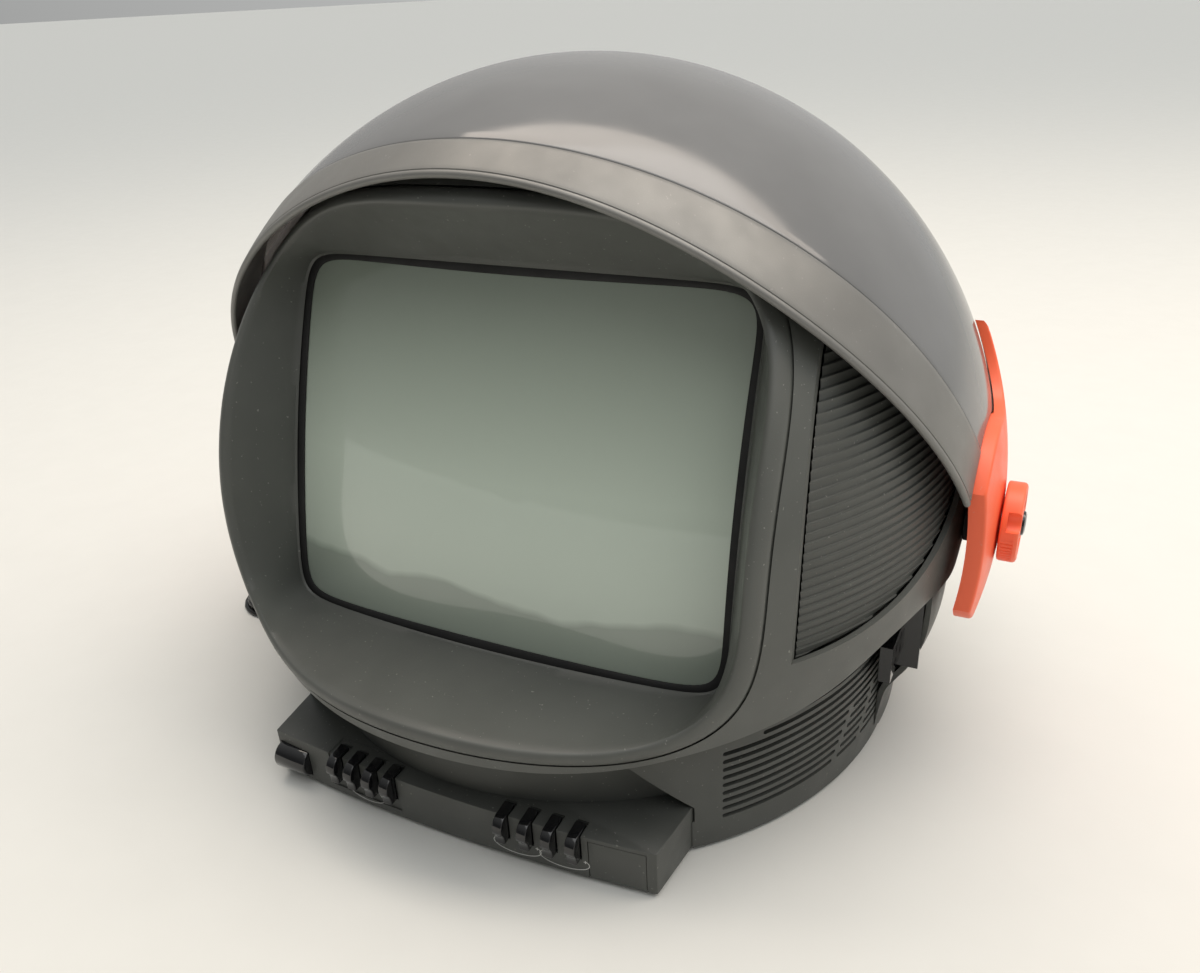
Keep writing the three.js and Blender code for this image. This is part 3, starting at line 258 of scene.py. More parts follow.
def make_materials():
    """One material for each of the record's material slots, and one for the printed marks."""
    return {
        "shell": plastic("shell_anthracite", (0.090, 0.094, 0.086), 0.42, 0.35, mottle=0.07, specks=0.25),
        "shell_dark": plastic("base_anthracite", (0.068, 0.071, 0.065), 0.45, 0.35, specks=0.2),
        "smoke_clear": smoked("smoke_dome", (0.195, 0.198, 0.20), 0.84),
        "visor_grey": plastic("visor_band_paint", (0.20, 0.197, 0.186), 0.42, 0.2, metallic=0.2,
                              specks=0.15),
        "orange": plastic("orange_moulding", (1.0, 0.150, 0.060), 0.42, 0.15, mottle=0.04, specks=0.1),
        "gloss_black": plastic("gloss_black", (0.008, 0.008, 0.009), 0.1, 0.02, mottle=0.2, coat=0.5),
        "rubber": plastic("black_rubber", (0.012, 0.012, 0.012), 0.7, 0.5, 900, mottle=0.2),
        "screen_glass": tube_glass(),
        "tube_glass": plastic("tube_back_coating", (0.03, 0.035, 0.03), 0.5, 0.3, 500),
        "steel": plastic("zinc_plate", (0.55, 0.56, 0.57), 0.3, 0.2, 700, metallic=1.0),
        "copper": plastic("winding_copper", (0.42, 0.17, 0.07), 0.4, 0.8, 400, metallic=0.8),
        "circuit_board": plastic("board_lacquer", (0.03, 0.10, 0.04), 0.45, 0.3, 300),
        "dark_plastic": plastic("dull_black", (0.02, 0.018, 0.016), 0.75, 0.4, 600),
        "cord_black": plastic("cord_vinyl", (0.008, 0.008, 0.008), 0.35, 0.15, 900),
        "print": plastic("white_print", (0.62, 0.62, 0.60), 0.6, 0.1),
    }


# ---------- mesh helpers ----------

def add_object(name, vertices, faces, smooth_angle=32):
    """A mesh object from points in millimetres, with its faces turned outwards."""
    mesh = bpy.data.meshes.new(name)
    mesh.from_pydata([Vector(v) * MM for v in vertices], [], faces)
    mesh.validate()
    piece = bpy.data.objects.new(name, mesh)
    bpy.context.collection.objects.link(piece)
    close_up(mesh)
    shade(mesh, smooth_angle)
    return piece


def close_up(mesh):
    """Merges points that meet and turns the faces outwards."""
    work = bmesh.new()
    work.from_mesh(mesh)
    bmesh.ops.remove_doubles(work, verts=work.verts, dist=1e-6)
    bmesh.ops.recalc_face_normals(work, faces=work.faces)
    work.to_mesh(mesh)
    work.free()


def shade(mesh, smooth_angle):
    """Shades everything smooth except edges sharper than an angle."""
    mesh.shade_smooth()
    mesh.set_sharp_from_angle(angle=math.radians(smooth_angle))


def loft(name, rings, closed=True, wrap=False, caps=None, smooth_angle=32):
    """Skins a list of rings of points. caps is None, "fill" or, for a sheet's edge, "strip"."""
    count = len(rings[0])
    vertices = [point for ring in rings for point in ring]
    faces = []
    for i in range(len(rings) if wrap else len(rings) - 1):
        below = i * count
        above = (i + 1) % len(rings) * count
        for j in range(count if closed else count - 1):
            k = (j + 1) % count
            faces.append((below + j, below + k, above + k, above + j))
    for start in (0, (len(rings) - 1) * count):
        if caps == "fill":
            faces.append(tuple(range(start, start + count)))
        if caps == "strip":
            for j in range(count // 2 - 1):
                far = count - 1 - j
                faces.append((start + j, start + j + 1, start + far - 1, start + far))
    return add_object(name, vertices, faces, smooth_angle)


def combine(target, tool, operation):
    """Cuts or intersects the target with a tool, which is used up."""
    modifier = target.modifiers.new("combine", "BOOLEAN")
    modifier.operation = operation
    modifier.solver = "MANIFOLD"
    modifier.object = tool
    settle(target)
    bpy.data.objects.remove(tool)


def cut(target, tool):
    combine(target, tool, "DIFFERENCE")


def settle(piece, smooth_angle=32):
    """Applies the modifiers of a piece."""
    shape = piece.evaluated_get(bpy.context.evaluated_depsgraph_get())
    mesh = bpy.data.meshes.new_from_object(shape)
    piece.modifiers.clear()
    piece.data = mesh
    shade(mesh, smooth_angle)


def bevelled(piece, width, segments=2, angle=35):
    """Rounds the edges sharper than an angle."""
    modifier = piece.modifiers.new("bevel", "BEVEL")
    modifier.width = width * MM
    modifier.segments = segments
    modifier.limit_method = "ANGLE"
    modifier.angle_limit = math.radians(angle)
    settle(piece, 40)
    return piece


def prism(name, outline, x0, x1):
    """A side-view outline of (y, z) points made solid across X."""
    rings = [[(x, y, z) for y, z in outline] for x in (x0, x1)]
    return loft(name, rings, caps="fill")


def upright_prism(name, outline, z0, z1):
    """A plan outline of (x, y) points made solid between two heights."""
    rings = [[(x, y, z) for x, y in outline] for z in (z0, z1)]
    return loft(name, rings, caps="fill")


def block(name, low, high):
    """A box between two corners, for cutting with."""
    outline = [(low[0], low[1]), (high[0], low[1]), (high[0], high[1]), (low[0], high[1])]
    return upright_prism(name, outline, low[2], high[2])


def turned(name, profile, matrix, segments=48, closed=False):
    """Turns a profile of (radius, height) about the matrix's Z axis."""
    rings = []
    for i in range(segments):
        angle = 2 * math.pi * i / segments
        ring = [matrix @ Vector((r * math.cos(angle), r * math.sin(angle), z)) for r, z in profile]
        rings.append(ring)
    return loft(name, rings, closed=closed, wrap=True)


def cylinder(name, radius, low, high, matrix, segments):
    """A plain cylinder between two heights on the matrix's Z axis, for cutting with."""
    return turned(name, [(0, low), (radius, low), (radius, high), (0, high)], matrix, segments)


def hinge_axis(side):
    """The hinge's own frame on one side: its Z axis points outwards."""
    return Matrix.Translation(HINGE) @ Matrix.Rotation(side * math.pi / 2, 4, "Y")


def finish_piece(piece, body, slot, replaced=(), material=None):
    """Gives a piece its body, material slot and finish, and hides the CAD nodes it stands for."""
    piece.data.materials.clear()
    piece.data.materials.append(material or materials[slot])
    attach(piece, body)
    if replaced:
        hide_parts(*replaced)
    return piece


def smooth_curve(points, per_span):
    """A centripetal Catmull-Rom curve through the points."""
    points = [Vector(p) for p in points]
    ends = [points[0] * 2 - points[1]], [points[-1] * 2 - points[-2]]
    line = ends[0] + points + ends[1]
    result = []
    for i in range(1, len(line) - 2):
        p0, p1, p2, p3 = line[i - 1:i + 3]
        t1 = math.sqrt((p1 - p0).length)
        t2 = t1 + math.sqrt((p2 - p1).length)
        t3 = t2 + math.sqrt((p3 - p2).length)
        for k in range(per_span):
            t = t1 + (t2 - t1) * k / per_span
            a1 = p0 * ((t1 - t) / t1) + p1 * (t / t1)
            a2 = p1 * ((t2 - t) / (t2 - t1)) + p2 * ((t - t1) / (t2 - t1))
            a3 = p2 * ((t3 - t) / (t3 - t2)) + p3 * ((t - t2) / (t3 - t2))
            b1 = a1 * ((t2 - t) / t2) + a2 * (t / t2)
            b2 = a2 * ((t3 - t) / (t3 - t1)) + a3 * ((t - t1) / (t3 - t1))
            result.append(b1 * ((t2 - t) / (t2 - t1)) + b2 * ((t - t1) / (t2 - t1)))
    result.append(points[-1])
    return result


# ---------- mains lead ----------

CORD_D = 3.6
RELIEF = Vector((-92.0, 199.2, 20.0))
COIL = Vector((-263.0, -38.0, 0.0))
COIL_RADII = (24.6, 21.0, 17.4)
COIL_TURNS = 9
COIL_LAYERS = 4
FLOOR_Z = 2.0
RELIEF_HOLE_R = 4.4


def cord_route():
    """The lead from the strain relief, behind the set and round to the coil."""
    x, y, z = RELIEF
    return smooth_curve([
        (x, y + 24.4, z), (x, y + 36, 18.5), (x - 4, y + 50, 12), (x - 14, y + 61, 6),
        (x - 32, y + 64, 2.6), (x - 62, y + 52, 2), (-190, 232, 2), (-226, 186, 2),
        (-254, 132, 2), (-272, 78, 2), (-285, 30, 2), (-291, -4, 2), (-291.7, -36, 2),
    ], 4)


def coil_turns():
    """Turns side by side in layers: inwards on the floor, outwards on the next, and so on."""
    tracks = []
    for layer in range(COIL_LAYERS):
        radii = COIL_RADII if layer % 2 == 0 else COIL_RADII[::-1]
        tracks += [(radius, FLOOR_Z + layer * CORD_D) for radius in radii]
    tracks = tracks[:COIL_TURNS]
    steps = 24
    shift = 9
    points = []
    before = (28.7, FLOOR_Z)
    for radius, height in tracks:
        for k in range(steps):
            share = min(1, (k + 1) / shift)
            share = share * share * (3 - 2 * share)
            r = before[0] + (radius - before[0]) * share
            z = before[1] + (height - before[1]) * share
            angle = math.pi + 2 * math.pi * (k + 1) / steps
            points.append(COIL + Vector((r * math.cos(angle), r * math.sin(angle), z)))
        before = (radius, height)
    radius, height = before
    for k in range(steps // 2):
        angle = math.pi + 2 * math.pi * (k + 1) / steps
        points.append(COIL + Vector((radius * math.cos(angle), radius * math.sin(angle), height)))
    return points


def make_cord():
    """One lead of its full length: the route, the coil and the short run to the plug."""
    neck = Vector((-248.6, 14.6, 6.5))
    points = cord_route() + coil_turns()
    last = points[-1]
    lead_in = [last + Vector((1, 10, 0.6)), Vector((-240, -6, 11)), Vector((-244.5, 5, 7.6)), neck]
    points += smooth_curve([last] + lead_in, 3)[1:]
    curve = bpy.data.curves.new("mains_lead", "CURVE")
    curve.dimensions = "3D"
    curve.bevel_depth = CORD_D / 2 * MM
    curve.bevel_resolution = 4
    spline = curve.splines.new("POLY")
    spline.points.add(len(points) - 1)
    for target, point in zip(spline.points, points):
        target.co = (*(point * MM), 1)
    lead = bpy.data.objects.new("mains_lead", curve)
    bpy.context.collection.objects.link(lead)
    finish_piece(lead, "chassis", "cord_black", ("mains_cord", "mains_cord_coil"))


# ---------- shapes that several pieces share ----------

HEAD_R = 236
BEZEL_BAND = 2
SCREEN_AHEAD = 141.2
SCREEN_ABOVE = 11.65
GLASS_CURVE_R = 697
HEAD_SPLIT_Y = 30
RIM_HALF_W = 166.3
RIM_ABOVE = 151.8
RIM_BELOW = 123.9
RIM_POWER = 3.8
HOLE_HALF_W = 141.5
HOLE_HALF_H = 106.5
HOLE_POWER = 15
NECK_COVER_HALF_W = 62
NECK_COVER_LOW = 205
NECK_COVER_HIGH = 275
JAW = [(-216, 75), (-206, 74.5), (-197, 75.5), (-184, 79), (-171, 83.5), (-161, 86.5), (-149, 90),
       (-133, 95.3), (-113, 103.8), (-97, 112), (-82, 118), (-50, 122), (10, 114), (90, 96), (260, 80)]


def rounded(angle, half_w, half_h, power):
    """Distance from the centre to a rounded rectangle's edge in a direction."""
    c = abs(math.cos(angle)) / half_w
    s = abs(math.sin(angle)) / half_h
    return (c ** power + s ** power) ** (-1 / power)


def rim_radius(angle):
    """The rim reaches further above the head's axis than below it."""
    return rounded(angle, RIM_HALF_W, RIM_ABOVE if math.sin(angle) > 0 else RIM_BELOW, RIM_POWER)


def hole_radius(angle):
    """The hole in the bezel that the screen shows through."""
    return rounded(angle, HOLE_HALF_W, HOLE_HALF_H, HOLE_POWER)


def face_radius(angle):
    """The edge of the tube's glass, a little outside the hole in the bezel."""
    return rounded(angle, HOLE_HALF_W + 4.5, HOLE_HALF_H + 4.5, 8)


def glass_ahead(radius):
    """How far the bulging glass stands ahead of the hinge at a radius from its middle."""
    return SCREEN_AHEAD - radius ** 2 / (2 * GLASS_CURVE_R)


def head_point(angle, radius, ahead, above=0.0):
    """A point in the leaning frame of the head, in the set's own axes."""
    return HEAD_FRAME @ Vector((radius * math.cos(angle), -ahead, radius * math.sin(angle) + above))


def ball_point(angle, radius, ball):
    """A point of the leaning frame on a ball about the hinge axis."""
    return head_point(angle, radius, math.sqrt(ball ** 2 - radius ** 2))


def screen_angles(count):
    """Directions round the screen, closer together near its corners."""
    corner = math.atan2(HOLE_HALF_H, HOLE_HALF_W)
    angles = []
    for i in range(count):
        quadrant, t = divmod(4 * i / count, 1)
        first = corner if quadrant % 2 == 0 else math.pi / 2 - corner
        if t < 0.5:
            angle = first * (1 - (1 - 2 * t) ** 1.7)
        else:
            angle = first + (math.pi / 2 - first) * (2 * t - 1) ** 1.7
        angles.append(quadrant * math.pi / 2 + angle)
    return angles


def above_jaw(lift):
    """Everything above the head's lower edge, as a solid to intersect with."""
    edge = [(p.y, p.z + lift) for p in smooth_curve([(0, y, z) for y, z in JAW], 6)]
    outline = [(-300, JAW[0][1] + lift)] + edge + [(300, 80 + lift), (300, 500), (-300, 500)]
    return prism("above_jaw", outline, -300, 300)


def on_ball(radius, side, swing):
    """A point on a ball about the hinge axis: side from the right hinge, swing up from the front."""
    out = radius * math.sin(side)
    return HINGE + Vector((radius * math.cos(side), -out * math.cos(swing), out * math.sin(swing)))


def spread(start, end, count):
    """Evenly spaced values, both ends included."""
    return [start + (end - start) * i / (count - 1) for i in range(count)]


# ---------- head ----------

def head_ball(radius):
    """A fine ball about the hinge axis."""
    profile = [(radius * math.sin(a), radius * math.cos(a)) for a in spread(0, math.pi, 97)]
    return turned("head_ball", profile, Matrix.Translation(HINGE), 192)


def tube_room():
    """The opening for the bezel, and the room that the picture tube needs behind it."""
    angles = screen_angles(288)
    rings = []
    for row in range(8):
        ring = []
        for angle in angles:
            opening = rim_radius(angle) + BEZEL_BAND + GAP
            inside = opening - BEZEL_BAND - GAP - 3
            hole = hole_radius(angle)
            face = face_radius(angle)
            radius, ahead, above = [
                (opening, 280, 0),
                (opening, math.sqrt(230 ** 2 - opening ** 2), 0),
                (inside, math.sqrt(226.5 ** 2 - inside ** 2), 0),
                (hole + 6.5, glass_ahead(hole) - 1, SCREEN_ABOVE),
                (face + 3, glass_ahead(face), SCREEN_ABOVE),
                (face + 3, glass_ahead(face) - 38, SCREEN_ABOVE),
                (face * 0.55 + 10, 30, SCREEN_ABOVE),
                (30, -20, SCREEN_ABOVE),
            ][row]
            ring.append(head_point(angle, radius, ahead, above))
        rings.append(ring)
    return loft("tube_room", rings, caps="fill")


GRILLE_FACE_R = 232.5
GRILLE_TOP = 287.7
GRILLE_BACK_Y = -6


def grille_window(side, grow):
    """The grille's outline: its front edge leans in above, its lower edge rises to the hinge."""
    high = GRILLE_TOP + grow
    front = [(side * (179.2 - 0.00062 * (z - 165) ** 2 - grow), z) for z in spread(110, high, 24)]
    front = [(side * 300, 110)] + front + [(side * 300, high)]
    rings = [[(x, y, z) for x, z in front] for y in (-210, 10)]
    window = loft("window", rings, caps="fill")
    low = [(y, 132 - grow + 31 * ((y + 136) / 109) ** 2) for y in spread(-136, GRILLE_BACK_Y + grow, 24)]
    outline = [(-205, 132 - grow)] + low + [(GRILLE_BACK_Y + grow, high + 5), (-205, high + 5)]
    combine(window, prism("side_view", outline, -310, 310), "INTERSECT")
    return window


REAR_SLOTS = 5
REAR_SLOT_LOW = 141.75
REAR_SLOT_PITCH = 11


def make_cabinets():
    """The front and rear halves of the head, cut from one smooth shell."""
    shell = head_ball(HEAD_R)
    combine(shell, above_jaw(0), "INTERSECT")
    hollow = head_ball(HEAD_R - WALL)
    combine(hollow, above_jaw(WALL), "INTERSECT")
    cut(shell, hollow)
    cut(shell, cylinder("floor_hole", 120, 0, 160, Matrix.Translation((0, 12, 0)), 96))
    cut(shell, tube_room())
    for side in (-1, 1):
        cut(shell, grille_window(side, GAP))
        cut(shell, cylinder("bore", BOLT_R + GAP, 210, 260, hinge_axis(side), 40))
    rear = shell.copy()
    rear.data = shell.data.copy()
    bpy.context.collection.objects.link(rear)
    shell.name = "cabinet_front"
    rear.name = "cabinet_rear"
    combine(shell, block("front_half", (-300, -300, -50), (300, HEAD_SPLIT_Y - GAP / 2, 500)), "INTERSECT")
    combine(rear, block("rear_half", (-300, HEAD_SPLIT_Y + GAP / 2, -50), (300, 300, 500)), "INTERSECT")
    for i in range(REAR_SLOTS):
        cut(rear, slot_cutter(-70, 70, REAR_SLOT_LOW + i * REAR_SLOT_PITCH, 3.5))
    cut(rear, neck_opening())
    finish_piece(shell, "chassis", "shell", ("front_cabinet",))
    finish_piece(rear, "chassis", "shell", ("rear_cabinet",))


def neck_opening():
    """The opening that the neck cover fills."""
    low = (-NECK_COVER_HALF_W, 120, NECK_COVER_LOW)
    return block("neck_opening", low, (NECK_COVER_HALF_W, 300, NECK_COVER_HIGH))


def half_round(centre, z, half, start, count, across=None):
    """Points round one end of a slot."""
    points = []
    for k in range(count):
        angle = start + math.pi * k / (count - 1)
        points.append((centre + (across or half) * math.cos(angle), z + half * math.sin(angle)))
    return points


def slot_cutter(x0, x1, z, height):
    """A round-ended slot through the back of the head."""
    half = height / 2
    outline = half_round(x1 - half, z, half, -math.pi / 2, 9)
    outline += half_round(x0 + half, z, half, math.pi / 2, 9)
    rings = [[(x, y, h) for x, h in outline] for y in (150, 300)]
    return loft("slot", rings, caps="fill")


RIB_PITCH = 4.6
RIBS = 36
RIB_DEPTHS = [(0.0, 1.0), (0.06, 1.05), (0.55, 0.6), (0.80, 0.2), (0.88, 0.0), (0.95, 0.1), (0.985, 0.85)]


def make_grilles():
    """Ribs like upturned clapboards: each leans out towards its top, where it catches the light."""
    rows = []
    for rib in range(RIBS):
        rows += [(rib + share, depth) for share, depth in RIB_DEPTHS]
    for side, name in SIDES:
        rings = []
        for step, depth in rows:
            z = GRILLE_TOP + 1 - (RIBS - step) * RIB_PITCH
            up = z - HINGE.z
            outer = []
            inner = []
            for line, radius in ((outer, GRILLE_FACE_R - depth), (inner, GRILLE_FACE_R - 4.8)):
                front = HINGE.y - math.sqrt(radius ** 2 - 164 ** 2 - up ** 2)
                for y in spread(front, GRILLE_BACK_Y + 3, 40):
                    line.append((side * math.sqrt(radius ** 2 - (y - HINGE.y) ** 2 - up ** 2), y, z))
            rings.append(outer + inner[::-1])
        grille = loft(f"ribbed_grille_{name}", rings, caps="strip", smooth_angle=25)
        combine(grille, grille_window(side, 0), "INTERSECT")
        finish_piece(grille, "chassis", "shell_dark", (f"side_grille_{name}",))


def make_neck_cover():
    """A panel with a raised border over the end of the tube's neck."""
    rings = []
    half = NECK_COVER_HALF_W - GAP
    tall = NECK_COVER_HIGH - NECK_COVER_LOW - 2 * GAP
    for v in spread(0, 1, 40):
        z = NECK_COVER_LOW + GAP + v * tall
        outer = []
        inner = []
        for u in spread(-1, 1, 60):
            edge = min(abs(abs(u) - 1) * half, v * tall, (1 - v) * tall)
            dip = 1.2 if edge > 4 else 1.2 * (edge / 4) ** 2
            for line, radius in ((outer, HEAD_R - 0.6 - dip), (inner, HEAD_R - 4)):
                x = u * half
                y = HINGE.y + math.sqrt(radius ** 2 - x ** 2 - (z - HINGE.z) ** 2)
                line.append((x, y, z))
        rings.append(outer + inner[::-1])
    panel = loft("neck_cover_panel", rings, caps="strip")
    finish_piece(panel, "chassis", "shell_dark", ("neck_cover",))


def make_rear_screws():
    """Domed heads with a cross recess."""
    for side, name in SIDES:
        low, high = (Vector(corner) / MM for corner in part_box(f"rear_screw_{name}"))
        centre = (low + high) / 2
        outward = (centre - HINGE).normalized()
        place = Matrix.Translation(centre) @ outward.to_track_quat("Z", "Y").to_matrix().to_4x4()
        profile = [(0, -1), (4.3, -1), (4.5, -0.6), (4.3, 0.2), (3.2, 0.8), (0, 1)]
        head = turned("screw_head", profile, place, 36)
        for turn in (0, math.pi / 2):
            bar = block("recess", (-2.6, -0.45, -0.2), (2.6, 0.45, 3))
            seat = place @ Matrix.Rotation(turn, 4, "Z")
            bar.data.transform(Matrix.Scale(MM, 4) @ seat @ Matrix.Scale(1 / MM, 4))
            cut(head, bar)
        head.name = f"rear_screw_head_{name}"
        finish_piece(head, "chassis", "steel", (f"rear_screw_{name}",))


# ---------- bezel and picture tube ----------

def make_bezel():
    """The rim's side band, its rounded lip, and the funnel down to the glass."""
    lip = [(BEZEL_BAND, 232.5), (BEZEL_BAND, 234.2), (1.8, 234.8), (1.3, 235.3), (1.3, 235.7), (0.9, 236.1),
           (0.2, 236.4), (-0.7, 236.6), (-1.8, 236.65), (-3.2, 236.55), (-4.6, 236.2), (-5.9, 235.6),
           (-7.0, 234.8), (-8.0, 233.6)]
    under = [(-5.4, 229.5), (-4.6, 231.3), (-3.6, 232.1), (-2.2, 232.1), (-0.8, 231.5)]
    rings = []
    for angle in screen_angles(288):
        rim = rim_radius(angle)
        hole = hole_radius(angle)
        glass = glass_ahead(hole)
        points = [ball_point(angle, rim + out, ball) for out, ball in lip]
        wall_start = points[-1]
        wall_end = head_point(angle, hole + 1.2, glass + 3.9, SCREEN_ABOVE)
        points += [wall_start.lerp(wall_end, k / 10) for k in range(1, 11)]
        points.append(head_point(angle, hole + 0.3, glass + 3.4, SCREEN_ABOVE))
        points.append(head_point(angle, hole, glass + 2.9, SCREEN_ABOVE))
        points.append(head_point(angle, hole + 3.2, glass + 2.8, SCREEN_ABOVE))
        points += [ball_point(angle, rim + out, ball) for out, ball in under]
        rings.append(points)
    bezel = loft("bezel", rings, wrap=True, smooth_angle=38)
    finish_piece(bezel, "chassis", "shell", ("front_bezel",))


def make_tube_face():
    """The glass and the black gasket round it."""
    angles = screen_angles(192)
    outer = []
    inner = []
    for share in (0.02, 0.15, 0.3, 0.45, 0.6, 0.72, 0.82, 0.9, 0.95, 0.98, 1.0):
        front = []
        back = []
        for angle in angles:
            radius = face_radius(angle) * share
            front.append(head_point(angle, radius, glass_ahead(radius), SCREEN_ABOVE))
            back.append(head_point(angle, radius, glass_ahead(radius) - 9, SCREEN_ABOVE))
        outer.append(front)
        inner.append(back)
    face = loft("screen_face", outer + inner[::-1], caps="fill", smooth_angle=50)
    finish_piece(face, "chassis", "screen_glass", ("picture_tube_face",))

    rings = []
    for angle in angles:
        hole = hole_radius(angle)
        ring = []
        for offset, lift in ((-4.5, 0.4), (-4.3, 1.0), (-3.4, 1.5), (-1, 1.9), (2, 2.1), (2, 0.4)):
            radius = hole + offset
            ring.append(head_point(angle, radius, glass_ahead(radius) + lift, SCREEN_ABOVE))
        rings.append(ring)
    gasket = loft("black_gasket", rings, wrap=True)
    finish_piece(gasket, "chassis", "rubber", ("screen_gasket",))


# ---------- visor ----------

VISOR_FRONT = math.radians(61.6)
VISOR_REAR = math.radians(152)
VISOR_R = 248.5
BAND_R = 249.0
COVER_DISC = 58.4
COVER_CHORD = 46
COVER_R = 255
COVER_OVER_DOME_R = 249.2
COVER_CORE_R = 246.1
COVER_EDGE = 1.5
HORN_TIP = (57, 97)
HORN_FOOT = math.radians(8)
HORN_BACK = math.radians(80)


def visor_sides(count):
    """Side angles from one hinge disc to the other."""
    end = math.asin((COVER_DISC + 1.0) / 245.2)
    return spread(end, math.pi - end, count)


def make_dome():
    """The smoked shell from the band round to its rear edge, with softened edges."""
    rings = []
    for side in visor_sides(180):
        lines = []
        for radius, sign in ((VISOR_R, 1), (VISOR_R - WALL, -1)):
            start = VISOR_FRONT + GAP / (radius * math.sin(side))
            swings = [start, start + 0.002] + spread(start + 0.006, VISOR_REAR - 0.006, 80)
            swings += [VISOR_REAR - 0.002, VISOR_REAR]
            soft = [0.7, 0.15] + [0.0] * 80 + [0.15, 0.7]
            lines.append([on_ball(radius - sign * s, side, w) for w, s in zip(swings, soft)])
        rings.append(lines[0] + lines[1][::-1])
    dome = loft("smoked_dome", rings, caps="strip", smooth_angle=50)
    finish_piece(dome, "visor", "smoke_clear", ("visor_dome",))


def band_width(x):
    """The band widens from its middle towards the hinges."""
    share = x / 200
    return 25.2 + 24.4 * share ** 2 - 14 * share ** 4


def make_band():
    """The grey band: a fine groove and a rounded lip along its front edge."""
    rings = []
    shape = [(0, 1.9), (0.15, 1.2), (0.5, 0.6), (1.0, 0.22), (1.7, 0), (2.6, 0), (3.0, 0.1), (3.25, 0.5),
             (3.6, 0.5), (3.85, 0.1), (4.3, 0), (6.5, 0)]
    inner_shape = [(0, 1.9), (0.15, 2.6), (0.5, 3.2), (1.0, 3.6), (1.7, 3.8), (2.6, 3.8), (3.0, 3.8),
                   (3.25, 3.8), (3.6, 3.8), (3.85, 3.8), (4.3, 3.8), (6.5, 3.8)]
    for side in visor_sides(200):
        ring_r = BAND_R * math.sin(side)
        width = min(band_width(BAND_R * math.cos(side)), ring_r * 0.95)
        tip = VISOR_FRONT - math.asin(width / ring_r)
        rest = spread(6.5, width - 0.5, 12)[1:] + [width]
        lines = []
        for profile, depth in ((shape, 0.0), (inner_shape, 3.8)):
            line = [on_ball(BAND_R - drop, side, tip + along / ring_r) for along, drop in profile]
            for along in rest:
                swing = tip + (VISOR_FRONT - tip) * along / width
                edge = 0.35 if along == width and depth == 0 else 0
                line.append(on_ball(BAND_R - depth - edge, side, max(swing, tip + 6.6 / ring_r)))
            lines.append(line)
        rings.append(lines[0] + lines[1][::-1])
    band = loft("visor_front_band", rings, caps="strip", smooth_angle=40)
    finish_piece(band, "visor", "visor_grey", ("visor_band",))


# ---------- hinge covers and knobs ----------

def bezier(points, count):
    """A quadratic or cubic curve through its control points, without its last point."""
    result = []
    for k in range(count):
        t = k / count
        work = [Vector(p) for p in points]
        while len(work) > 1:
            work = [a.lerp(b, t) for a, b in zip(work, work[1:])]
        result.append(work[0])
    return result


def disc_point(angle):
    """A point on the rim of the hinge cover's disc."""
    return Vector((COVER_DISC * math.cos(angle), COVER_DISC * math.sin(angle)))


def cover_outline():
    """The hinge cover from the side, about the hinge axis: a cut disc and a curved horn."""
    flat = math.sqrt(COVER_DISC ** 2 - COVER_CHORD ** 2)
    low = math.atan2(-flat, -COVER_CHORD) + 2 * math.pi
    foot = HORN_FOOT + 2 * math.pi
    high = math.atan2(flat, -COVER_CHORD)
    outline = [Vector((-COVER_CHORD, z)) for z in spread(flat, -flat, 36)[:-1]]
    outline += [disc_point(low + (foot - low) * k / 90) for k in range(90)]
    outline += bezier([disc_point(foot), (67, 58), HORN_TIP], 50)
    outline += bezier([HORN_TIP, (52, 74), (43, 54), disc_point(HORN_BACK)], 40)
    outline += [disc_point(HORN_BACK + (high - HORN_BACK) * k / 30) for k in range(30)]
    return outline


def edge_distance(point, outline):
    """How far a point lies from the nearest side of a closed outline."""
    best = 1e9
    for a, b in zip(outline, outline[1:] + outline[:1]):
        step = b - a
        t = max(0.0, min(1.0, (point - a).dot(step) / max(step.length_squared, 1e-9)))
        best = min(best, (point - a - step * t).length)
    return best


